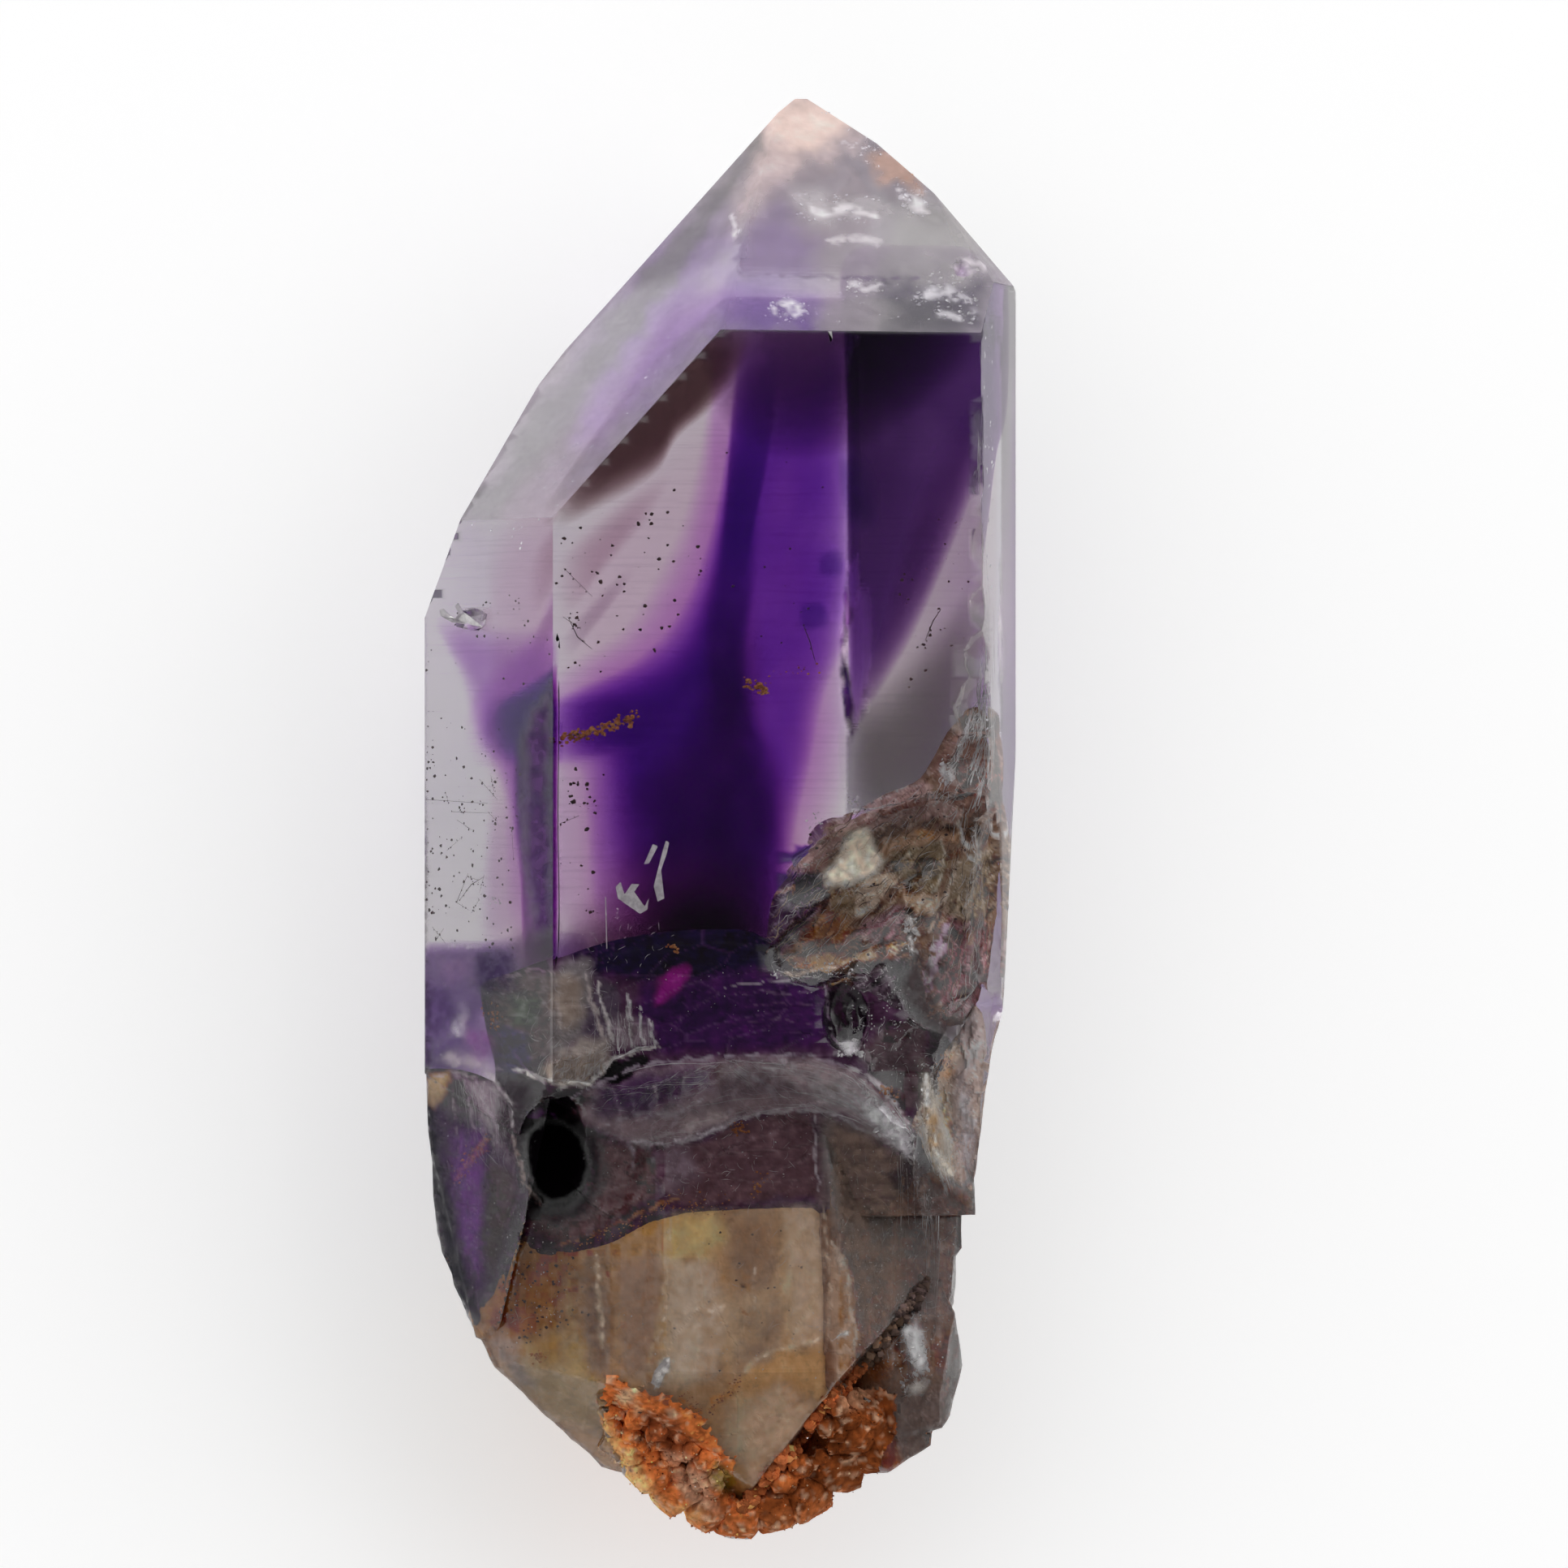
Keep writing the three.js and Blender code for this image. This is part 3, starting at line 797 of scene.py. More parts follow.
def grid_cells(loop, step):
    """Grid of view points over a closed outline, with those outside moved to it; its cells; how far
    each point is inside."""
    start = loop.min(0) - step
    count = np.ceil((loop.max(0) + step - start) / step).astype(int) + 1
    index = np.arange(count[0] * count[1]).reshape(count)
    q = start + np.stack(np.meshgrid(*[np.arange(c) for c in count], indexing="ij"), -1).reshape(-1, 2) * step
    spots, gap = edge_points(loop, q)
    within = gap < -0.3 * step
    cells = np.stack([index[:-1, :-1], index[1:, :-1], index[1:, 1:], index[:-1, 1:]], -1).reshape(-1, 4)
    cells = cells[within[cells].any(1)]
    return np.where(within[:, None], q, spots), cells, np.where(within, -gap, 0)


def cloud(name, outline, colours, step, shallow, deep, crumple, rim, inner=FRONT_IN):
    """Clouded body inside an outline of the view, from a shallow depth under the skin to a deep one, in mm.
    The step of its grid and the width of its thinner rim are in pixels."""
    q, cells, depth_in = grid_cells(spline_loop(outline), step)
    hits = {i: surface(*q[i]) for i in np.unique(cells)}
    cells = [c for c in cells if all(hits[i][0] is not None for i in c)]
    used, shared = np.unique(cells, return_counts=True)
    tone, fold = colours(q[used])
    at = np.array([hits[i][0] for i in used])
    normal = np.array([hits[i][1] for i in used])
    room = np.array([way_through(p, inner) for p in at])
    share = np.sqrt(smooth(0, rim, depth_in[used])) * (shared == 4)
    near, far, lip = cloud_depths(room, fold, shallow, deep, crumple)
    inside = np.flatnonzero(share > 0)
    top = at + inner * (lip + (near - lip) * share)[:, None]
    under = (at + inner * (lip + (far - lip) * share)[:, None])[inside]
    faces = cloud_faces(cells, used, inside)
    piece = new_piece(name, place(np.concatenate([top, under])), faces, clouded_material(name))
    # Each base is lowered by the sky's reflection at its facing: painted shade that offsets the quartz's own
    # reflection
    shine = glare(normal)[:, None]
    base = base_tones(np.maximum(tone - shine, 0.2 * tone))
    set_tones(piece.data, "tone", np.concatenate([base, base[inside]]))
    turn_out(piece)


# Fracture on the right. In all such tables an area is name, tone, cover, softness and outline, and a
# stroke is name, tone, cover, width and line
BREAK_OUTLINE = [
    (1000, 1024), (1018, 1010), (1052, 1000), (1088, 980), (1130, 962), (1148, 938), (1166, 905),
    (1188, 872), (1212, 880), (1224, 950), (1228, 1050), (1222, 1150), (1214, 1205), (1190, 1250),
    (1150, 1268), (1100, 1262), (1050, 1222), (1000, 1212), (945, 1207), (944, 1170), (950, 1115),
    (966, 1078), (990, 1050),
]
BREAK_AREAS = [
    ("violet rim", (70, 46, 78), 1, 12,
     [(940, 1100), (1010, 1000), (1030, 1010), (1000, 1060), (985, 1090), (960, 1180)]),
    ("top right brown", (86, 62, 56), 1, 8,
     [(1183, 900), (1222, 900), (1222, 995), (1195, 1000), (1170, 985), (1150, 950)]),
    ("pinkish plane", (112, 84, 80), 1, 5,
     [(1014, 1014), (1048, 1002), (1086, 981), (1130, 964), (1153, 972), (1183, 999), (1178, 1014),
      (1141, 1010), (1086, 1016), (1048, 1027), (1031, 1039), (1012, 1073), (972, 1070), (978, 1048),
      (999, 1031)]),
    ("dark left", (44, 31, 46), 1, 6,
     [(947, 1109), (968, 1075), (1012, 1075), (1016, 1111), (1000, 1132), (972, 1160), (945, 1180),
      (941, 1145)]),
    ("cream", (200, 184, 164), 1, 7,
     [(1052, 1024), (1067, 1021), (1077, 1035), (1080, 1048), (1092, 1061), (1082, 1077), (1061, 1088),
      (1039, 1092), (1019, 1088), (1012, 1077), (1030, 1052), (1039, 1037)]),
    ("cream low", (150, 124, 106), 1, 4,
     [(1052, 1094), (1103, 1074), (1107, 1082), (1067, 1126), (1054, 1132)]),
    ("orange band", (136, 100, 80), 0.9, 5,
     [(1088, 1029), (1141, 1022), (1181, 1022), (1178, 1036), (1157, 1038), (1119, 1045), (1098, 1050),
      (1088, 1061), (1082, 1048)]),
    ("orange spot", (134, 84, 52), 0.9, 6, [(1128, 1023), (1153, 1021), (1152, 1034), (1130, 1035)]),
    ("olive glass", (80, 68, 55), 1, 4,
     [(1098, 1048), (1162, 1037), (1164, 1065), (1151, 1098), (1128, 1096), (1105, 1079), (1096, 1065)]),
    ("olive right", (98, 84, 70), 0.9, 9,
     [(1178, 1056), (1222, 1040), (1222, 1120), (1200, 1140), (1170, 1132), (1162, 1111)]),
    ("box", (90, 74, 60), 1, 3, [(1021, 1098), (1054, 1096), (1054, 1130), (1027, 1130)]),
    ("amber", (92, 58, 38), 1, 10,
     [(1010, 1115), (1046, 1134), (1050, 1160), (1018, 1166), (985, 1162), (1000, 1136)]),
    ("mauve", (116, 86, 92), 1, 5,
     [(1065, 1132), (1120, 1113), (1121, 1140), (1111, 1158), (1086, 1170), (1056, 1153)]),
    ("wedge", (148, 118, 98), 1, 4, [(1116, 1104), (1160, 1106), (1149, 1130), (1124, 1132)]),
    ("red ground", (86, 58, 62), 1, 6,
     [(1166, 1128), (1210, 1138), (1218, 1183), (1214, 1230), (1178, 1252), (1150, 1230), (1157, 1189),
      (1168, 1157)]),
    ("ledge", (132, 106, 86), 1, 5,
     [(945, 1190), (981, 1183), (1039, 1185), (1077, 1174), (1088, 1182), (1056, 1193), (1023, 1203),
      (993, 1212), (949, 1208)]),
    ("dark low", (46, 38, 44), 1, 6,
     [(1054, 1192), (1115, 1180), (1132, 1204), (1134, 1270), (1077, 1270), (1040, 1225)]),
]
BREAK_STROKES = [
    ("top edge", (150, 128, 126), 0.8, 2.2, [(1020, 1012), (1052, 1000), (1088, 981), (1132, 965)]),
    ("fold", (96, 62, 64), 0.7, 3.0, [(1050, 1026), (1072, 1006), (1100, 992), (1130, 990)]),
    # Crease: painted shade in a crease of the fracture
    ("crease", (60, 46, 44), 0.8, 3.5, [(1082, 1016), (1110, 1012), (1140, 1013), (1176, 1018)]),
    ("pale bar", (158, 146, 130), 0.7, 2.0, [(1159, 1033), (1165, 1056), (1153, 1090), (1146, 1100)]),
    ("pale fold", (182, 156, 140), 0.8, 3.0, [(1176, 1070), (1162, 1107), (1150, 1128), (1142, 1150)]),
    ("white rib", (196, 184, 170), 0.9, 3.0, [(1183, 1010), (1187, 1035), (1195, 1062)]),
    ("white rib 2", (178, 166, 156), 0.8, 2.4, [(1198, 1018), (1202, 1045), (1207, 1070)]),
    ("far rib", (190, 180, 176), 0.8, 3.0, [(1220, 1008), (1222, 1030)]),
    ("blob", (176, 168, 168), 0.8, 6.0, [(1164, 942), (1168, 962)]),
    ("brown lens", (120, 84, 72), 0.7, 9.0, [(1190, 985), (1206, 965)]),
    ("lilac rib", (156, 126, 152), 0.9, 8.0, [(1166, 1140), (1156, 1172), (1143, 1200), (1140, 1228)]),
    ("lilac edge", (198, 178, 198), 0.7, 3.0, [(1150, 1150), (1148, 1180), (1138, 1210)]),
    # Dark gap: painted shade in a gap of the fracture
    ("dark gap", (38, 26, 28), 0.9, 6.0, [(1176, 1135), (1170, 1165), (1158, 1195), (1154, 1225)]),
    ("rose fold", (140, 104, 110), 0.7, 6.0, [(1192, 1175), (1186, 1205), (1172, 1232)]),
    ("rose fold 2", (124, 92, 92), 0.6, 5.0, [(1205, 1150), (1207, 1190), (1200, 1222)]),
    ("brown fold", (110, 84, 66), 0.6, 5.0, [(1190, 1110), (1196, 1140), (1192, 1165)]),
    ("dark edge", (40, 28, 30), 0.8, 2.6, [(1014, 1078), (1004, 1100), (1014, 1118), (1000, 1140)]),
    ("diag 1", (108, 92, 104), 0.7, 1.8, [(952, 1168), (985, 1140), (1011, 1116)]),
    ("diag 2", (96, 80, 92), 0.6, 1.8, [(948, 1150), (975, 1125), (1000, 1100)]),
    ("loop", (130, 96, 78), 0.8, 2.4, [(948, 1116), (950, 1104), (962, 1096), (974, 1092), (972, 1102)]),
    ("lamella 1", (84, 62, 52), 0.8, 2.0, [(1058, 1120), (1085, 1096), (1104, 1080)]),
    ("lamella 2", (176, 152, 134), 0.8, 2.0, [(1062, 1126), (1088, 1102), (1105, 1086)]),
    ("dark wedge", (58, 44, 38), 0.9, 5.0, [(1078, 1120), (1096, 1100), (1106, 1088)]),
    ("lamella 3", (132, 112, 92), 0.7, 2.0, [(1074, 1132), (1104, 1106), (1120, 1090)]),
    ("gold line", (176, 134, 96), 0.8, 2.4, [(1086, 1176), (1102, 1170), (1116, 1162)]),
    ("ledge glow", (206, 180, 160), 0.7, 3.0, [(960, 1194), (985, 1204), (1010, 1203)]),
    ("ledge rust", (170, 104, 52), 0.8, 3.5, [(976, 1190), (996, 1192), (1004, 1190)]),
    ("white crumbs", (210, 200, 200), 0.9, 3.0, [(1120, 1132), (1124, 1146), (1130, 1150)]),
    ("white crumbs 2", (214, 206, 208), 0.9, 3.5, [(1116, 1158), (1121, 1170), (1126, 1176)]),
]


BREAK_GROUND = (80, 61, 52)
SLANTING_TO = 1160     # fibres left of this column of the view slant
UPRIGHT_FROM = 1150    # fibres right of this column stand upright


def break_tones(q):
    seen = painted(q, BREAK_GROUND, BREAK_AREAS, BREAK_STROKES, seed=3, wobble=0.9)
    slanting = fibrous(q, turn=45, length=30, width=5, seed=101) * (q[:, 0] < SLANTING_TO)
    upright = fibrous(q, turn=82, length=40, width=5, seed=103) * (q[:, 0] > UPRIGHT_FROM)
    dark = fibrous(q, turn=52, length=34, width=6, seed=105)
    seen *= np.exp(0.9 * (slanting + upright) - 1.1 * dark)[:, None]
    return broken(q, seen, size=11, turn=44, stretch=3.0, contrast=0.22, grain=0.24, glint=0.8, seed=11,
                  spots=0.5)


cloud("clouded_break", BREAK_OUTLINE, break_tones, step=2.2, shallow=0.6, deep=3.5, crumple=0.08, rim=14)

# Skirt of the head over the stem: the quartz's own violet, largely under painted shade, since the lower head
# lies in shade
SKIRT_OUTLINE = [
    (616, 1212), (640, 1198), (690, 1180), (760, 1158), (850, 1146), (930, 1150), (975, 1190), (1040, 1205),
    (1100, 1235), (1160, 1270), (1165, 1350), (1150, 1440), (1090, 1500), (1000, 1500), (900, 1500),
    (830, 1510), (750, 1545), (690, 1560), (640, 1545), (632, 1480), (628, 1400), (626, 1350), (634, 1322),
    (622, 1270),
]
SKIRT_AREAS = [
    # Black violet: the quartz's deep violet, darkened further by painted shade
    ("black violet", (24, 11, 32), 1, 12,
     [(690, 1120), (940, 1120), (960, 1190), (860, 1212), (770, 1206), (700, 1200)]),
    ("violet band", (38, 20, 46), 1, 12,
     [(790, 1215), (940, 1195), (1015, 1205), (1022, 1290), (930, 1296), (820, 1300), (775, 1280)]),
    # Magenta: a painted pink glint
    ("magenta", (96, 28, 82), 0.8, 6,
     [(812, 1206), (830, 1195), (850, 1193), (846, 1206), (826, 1226), (808, 1240)]),
    ("pane", (76, 71, 72), 1, 8,
     [(612, 1222), (618, 1206), (662, 1196), (684, 1196), (700, 1180), (726, 1184), (732, 1220),
      (714, 1270), (690, 1300), (660, 1310), (632, 1300), (614, 1262)]),
    ("pane dark", (52, 46, 54), 0.8, 6,
     [(735, 1200), (757, 1215), (768, 1270), (745, 1290), (720, 1280), (728, 1230)]),
    ("pane beige", (104, 89, 80), 0.8, 9,
     [(686, 1200), (716, 1204), (712, 1250), (696, 1264), (684, 1240)]),
    ("pane green", (76, 82, 76), 0.7, 6, [(632, 1228), (668, 1232), (664, 1262), (636, 1262)]),
    ("glass left", (66, 58, 76), 1, 6, [(612, 1262), (650, 1275), (656, 1310), (640, 1326), (606, 1320)]),
    ("fan", (116, 104, 98), 0.8, 9,
     [(668, 1318), (690, 1300), (716, 1288), (748, 1284), (746, 1306), (730, 1322), (700, 1334),
      (678, 1332)]),
    ("fan right", (82, 70, 76), 0.8, 10,
     [(752, 1262), (775, 1250), (806, 1262), (808, 1288), (780, 1292), (757, 1290)]),
    ("band", (98, 80, 86), 1, 6,
     [(706, 1352), (740, 1335), (787, 1315), (859, 1305), (930, 1300), (1002, 1303), (1050, 1317),
      (1088, 1343), (1125, 1382), (1117, 1417), (1074, 1396), (1036, 1374), (1002, 1365), (940, 1370),
      (902, 1382), (863, 1401), (830, 1410), (797, 1410), (768, 1401), (734, 1386), (706, 1370)]),
    ("band violet", (58, 38, 66), 0.9, 14,
     [(740, 1340), (800, 1318), (880, 1310), (880, 1340), (800, 1370), (740, 1370)]),
    ("band bright", (140, 126, 130), 0.7, 12,
     [(1000, 1312), (1060, 1330), (1120, 1395), (1070, 1385), (1010, 1350)]),
    # Under arch: painted shade of the hollow under the arch
    ("under arch", (60, 44, 48), 1, 6,
     [(815, 1416), (870, 1402), (940, 1373), (1003, 1368), (1012, 1470), (930, 1480), (830, 1484),
      (806, 1450)]),
    ("under arch left", (80, 66, 74), 0.8, 10,
     [(810, 1418), (850, 1410), (860, 1450), (830, 1474), (806, 1450)]),
    ("left of stem", (70, 54, 56), 1, 8,
     [(728, 1400), (800, 1418), (808, 1470), (750, 1512), (690, 1535), (662, 1520), (655, 1485),
      (722, 1470)]),
    ("right of stem", (62, 50, 52), 1, 8,
     [(1004, 1368), (1060, 1385), (1112, 1430), (1060, 1500), (1012, 1480)]),
    # Pocket: painted shade in the recess
    ("pocket", (40, 27, 38), 1, 5, [(1020, 1212), (1075, 1216), (1088, 1262), (1050, 1290), (1026, 1280)]),
    ("below pocket", (62, 50, 54), 1, 8,
     [(1050, 1290), (1140, 1250), (1150, 1330), (1120, 1370), (1080, 1340)]),
    ("pit shade", (30, 20, 26), 1, 8,
     [(636, 1372), (690, 1362), (735, 1400), (738, 1450), (712, 1500), (660, 1500), (640, 1450)]),
    # Pit: painted shade, near black, in the hollow
    ("pit", (8, 5, 7), 1, 3,
     [(644, 1392), (664, 1378), (692, 1384), (716, 1406), (726, 1432), (718, 1462), (700, 1482),
      (680, 1486), (664, 1470), (652, 1440)]),
    # Gap: painted shade, near black, in a gap between parts
    ("gap", (12, 8, 12), 1, 3,
     [(740, 1330), (757, 1308), (787, 1297), (811, 1296), (798, 1312), (764, 1334)]),
    ("shadow", (30, 20, 28), 0.9, 6,
     [(640, 1345), (700, 1340), (730, 1350), (700, 1372), (660, 1378), (640, 1390)]),
]
SKIRT_STROKES = [
    ("arch edge", (120, 108, 120), 0.6, 2.4,
     [(706, 1350), (740, 1334), (787, 1314), (859, 1304), (930, 1299), (1002, 1302), (1050, 1316),
      (1088, 1342)]),
    ("arch edge right", (176, 164, 170), 0.7, 3.4,
     [(1040, 1312), (1075, 1330), (1100, 1356), (1122, 1390)]),
    ("arch lip", (140, 130, 136), 0.6, 3.0,
     [(735, 1386), (768, 1401), (797, 1410), (830, 1410), (863, 1400), (902, 1381), (940, 1369),
      (1002, 1364), (1036, 1373), (1074, 1395), (1116, 1416)]),
    ("veil 1", (150, 138, 150), 0.6, 3.0, [(742, 1386), (780, 1372), (830, 1372), (870, 1352)]),
    ("veil 2", (170, 158, 164), 0.7, 4.0, [(800, 1404), (840, 1392), (880, 1376), (905, 1366)]),
    ("veil 3", (184, 172, 178), 0.6, 3.0, [(940, 1312), (980, 1322), (1020, 1342), (1052, 1360)]),
    ("veil 4", (168, 156, 166), 0.6, 4.0, [(960, 1304), (1010, 1322), (1060, 1354), (1096, 1388)]),
    ("veil 5", (140, 126, 138), 0.5, 5.0, [(900, 1312), (940, 1330), (960, 1356)]),
    ("crumbs", (220, 210, 216), 1.0, 7.0, [(1064, 1362), (1088, 1382), (1110, 1410)]),
    ("rib 1", (172, 160, 160), 0.8, 2.4, [(735, 1207), (745, 1250), (757, 1290)]),
    ("rib 2", (190, 180, 184), 0.9, 2.0, [(772, 1221), (775, 1260), (778, 1290)]),
    ("rib 3", (190, 180, 184), 0.9, 2.0, [(789, 1240), (790, 1265), (793, 1288)]),
    ("rib 4", (180, 170, 176), 0.9, 2.0, [(802, 1254), (805, 1275), (808, 1290)]),
    ("rib 5", (140, 126, 124), 0.7, 3.0, [(722, 1196), (728, 1230), (738, 1262), (748, 1288)]),
    ("pane edge", (126, 116, 118), 0.8, 2.0,
     [(612, 1222), (616, 1207), (640, 1202), (662, 1196), (684, 1196)]),
    ("pane line", (118, 106, 104), 0.7, 2.4, [(684, 1196), (688, 1240), (692, 1290)]),
    ("glass edge", (92, 84, 96), 0.5, 2.0, [(612, 1262), (640, 1300), (658, 1322)]),
    ("shard", (170, 160, 164), 0.8, 4.0, [(637, 1317), (655, 1324), (674, 1334)]),
    ("rim", (190, 178, 174), 0.8, 3.0,
     [(658, 1325), (691, 1336), (725, 1334), (741, 1322), (757, 1304), (787, 1293), (811, 1291)]),
    ("pocket edge", (130, 118, 130), 0.8, 2.0, [(1020, 1212), (1018, 1250), (1024, 1280), (1040, 1296)]),
    ("ledge line", (120, 108, 118), 0.6, 1.6, [(890, 1219), (930, 1211), (980, 1208), (1016, 1209)]),
    ("ledge line 2", (84, 70, 86), 0.5, 1.6, [(900, 1228), (950, 1222), (1010, 1222)]),
    ("scratch", (76, 60, 76), 0.4, 1.6, [(920, 1240), (960, 1236), (1012, 1240)]),
    ("scratch 2", (70, 56, 72), 0.4, 1.6, [(900, 1262), (960, 1256), (1016, 1262)]),
    ("lilac glow", (96, 60, 104), 0.6, 5.0, [(655, 1378), (672, 1366), (690, 1376)]),
    ("pit rim", (130, 112, 108), 0.9, 3.0, [(636, 1400), (644, 1440), (652, 1470), (668, 1486)]),
    ("pit rim 2", (86, 66, 82), 0.6, 3.0, [(724, 1420), (730, 1450), (716, 1478)]),
    ("pink dot", (210, 96, 130), 1.0, 4.0, [(727, 1458), (731, 1461)]),
    ("brown line", (104, 72, 56), 0.9, 3.0, [(690, 1536), (749, 1514), (816, 1482), (838, 1478)]),
    ("stem edge", (140, 126, 134), 0.8, 1.8, [(1003, 1366), (1004, 1420), (1010, 1470)]),
]


# Dark ground of the skirt: the violet quartz under painted shade
SKIRT_GROUND = (48, 34, 46)
STEEP_FROM = 1380      # below this row of the view the skirt has steep fibres too


def skirt_tones(q):
    seen = painted(q, SKIRT_GROUND, SKIRT_AREAS, SKIRT_STROKES, seed=5, wobble=0.9)
    level = fibrous(q, turn=12, length=26, width=5, seed=107)
    steep = fibrous(q, turn=62, length=22, width=6, seed=109) * (q[:, 1] > STEEP_FROM)
    seen *= np.exp(0.30 * (level + steep))[:, None]
    return broken(q, seen, size=30, turn=12, stretch=3.2, contrast=0.10, grain=0.22, glint=0.22, seed=23)


cloud("clouded_skirt", SKIRT_OUTLINE, skirt_tones, step=2.6, shallow=0.30, deep=4.0, crumple=0.05, rim=20)

# Smoky quartz to the right of the stem
SMOKY_OUTLINE = [
    (1000, 1400), (1060, 1400), (1110, 1420), (1150, 1440), (1200, 1480), (1200, 1560), (1196, 1640),
    (1190, 1720), (1150, 1790), (1100, 1830), (1040, 1880), (960, 1905), (940, 1870), (980, 1810),
    (1010, 1750), (1010, 1640), (1006, 1540), (996, 1460),
]
SMOKY_GROUND = (84, 66, 58)
SMOKY_WARMTH = np.array([1.05, 0.90, 0.80])
SMOKY_AREAS = [
    ("dark", (56, 44, 44), 0.9, 12,
     [(1010, 1390), (1060, 1400), (1110, 1440), (1100, 1560), (1060, 1620), (1040, 1540)]),
    ("light right", (92, 80, 78), 0.8, 16,
     [(1130, 1470), (1185, 1500), (1176, 1640), (1140, 1660), (1120, 1560)]),
    ("sliver", (122, 100, 88), 1, 4,
     [(1022, 1527), (1043, 1569), (1054, 1645), (1049, 1697), (1030, 1716), (1022, 1640)]),
    ("cream patch", (170, 150, 138), 0.9, 6, [(1040, 1724), (1085, 1712), (1088, 1738), (1050, 1748)]),
    ("brown spot", (110, 70, 50), 0.9, 6, [(1072, 1684), (1098, 1680), (1100, 1694), (1074, 1696)]),
    ("under crust", (92, 54, 34), 1, 8,
     [(1020, 1730), (1100, 1740), (1110, 1800), (1040, 1890), (950, 1905), (950, 1840), (1010, 1780)]),
    ("foot edge", (96, 84, 84), 1, 10, [(1112, 1720), (1190, 1700), (1180, 1780), (1110, 1790)]),
]
SMOKY_STROKES = [
    ("streak 1", (120, 108, 106), 0.6, 5.0, [(1098, 1420), (1100, 1500), (1096, 1600), (1104, 1680)]),
    ("streak 2", (134, 122, 120), 0.6, 4.0, [(1134, 1450), (1138, 1540), (1132, 1620)]),
    ("streak 3", (126, 114, 114), 0.6, 5.0, [(1160, 1480), (1162, 1560), (1156, 1660)]),
    ("streak 4", (96, 82, 80), 0.5, 7.0, [(1060, 1400), (1066, 1480), (1062, 1560)]),
    ("sliver edge", (170, 152, 140), 0.9, 2.2, [(1022, 1527), (1043, 1569), (1052, 1645), (1047, 1697)]),
    ("white dash", (226, 216, 212), 1.0, 2.6, [(1026, 1652), (1036, 1645), (1046, 1642)]),
    ("sparkle", (214, 208, 214), 1.0, 10.0, [(1120, 1636), (1132, 1662), (1134, 1690)]),
    ("sparkle low", (206, 200, 206), 1.0, 7.0, [(1116, 1712), (1130, 1708), (1142, 1700)]),
    ("hair", (120, 108, 104), 0.6, 1.6, [(1060, 1560), (1090, 1542), (1120, 1530)]),
    ("hair 2", (120, 108, 104), 0.6, 1.6, [(1050, 1600), (1076, 1570), (1108, 1560)]),
]


def smoky_tones(q):
    seen = painted(q, SMOKY_GROUND, SMOKY_AREAS, SMOKY_STROKES, seed=7)
    upright = fibrous(q, turn=84, length=36, width=7, seed=111)
    slanting = fibrous(q, turn=40, length=18, width=5, seed=113)
    seen *= np.exp(0.30 * upright + 0.18 * slanting)[:, None]
    seen *= SMOKY_WARMTH
    return broken(q, seen, size=16, turn=86, stretch=4.0, contrast=0.12, grain=0.20, glint=0.4, seed=31)


cloud("clouded_smoke", SMOKY_OUTLINE, smoky_tones, step=2.6, shallow=0.4, deep=5.0, crumple=0.10, rim=16)

# Pale crushed edge right of the arch
PALE_OUTLINE = [
    (1118, 1384), (1128, 1352), (1142, 1330), (1160, 1296), (1184, 1262), (1202, 1236), (1212, 1280),
    (1206, 1340), (1208, 1410), (1204, 1456), (1192, 1470), (1170, 1458), (1142, 1434), (1124, 1412),
]
PALE_AREAS = [
    ("gold", (168, 134, 92), 1, 7, [(1136, 1370), (1158, 1350), (1172, 1400), (1166, 1446), (1140, 1430)]),
    ("white streaks", (202, 196, 196), 0.9, 6,
     [(1130, 1330), (1146, 1316), (1160, 1400), (1166, 1440), (1150, 1430), (1136, 1380)]),
    ("lilac lobe", (136, 112, 102), 1, 10,
     [(1172, 1310), (1208, 1300), (1208, 1460), (1188, 1480), (1170, 1430)]),
    ("rust top", (150, 96, 66), 1, 6, [(1150, 1302), (1172, 1296), (1172, 1322), (1152, 1330)]),
    ("bevel", (150, 128, 126), 1, 8, [(1180, 1270), (1204, 1232), (1214, 1290), (1190, 1310)]),
]
PALE_STROKES = [
    ("ray 1", (232, 226, 226), 0.9, 4.0, [(1138, 1330), (1146, 1370), (1160, 1420)]),
    ("ray 2", (236, 224, 206), 0.9, 3.0, [(1152, 1344), (1160, 1386), (1172, 1430)]),
    ("ray 3", (120, 92, 66), 0.8, 3.0, [(1144, 1350), (1154, 1396), (1168, 1440)]),
    ("ray 4", (216, 208, 214), 0.8, 3.0, [(1130, 1390), (1146, 1420), (1172, 1462)]),
    ("lobe shine", (196, 188, 200), 0.8, 7.0, [(1186, 1340), (1196, 1390), (1192, 1440)]),
]


PALE_GROUND = (126, 104, 90)


def pale_tones(q):
    seen = painted(q, PALE_GROUND, PALE_AREAS, PALE_STROKES, seed=9, wobble=0.8)
    bright = fibrous(q, turn=76, length=26, width=5, seed=115)
    dark = fibrous(q, turn=70, length=24, width=5, seed=117)
    seen *= np.exp(0.8 * bright - 0.9 * dark)[:, None]
    return broken(q, seen, size=9, turn=74, stretch=4.0, contrast=0.30, grain=0.24, glint=0.9, seed=37,
                  spots=0.5)


cloud("clouded_edge", PALE_OUTLINE, pale_tones, step=2.4, shallow=0.3, deep=3.0, crumple=0.12, rim=10)

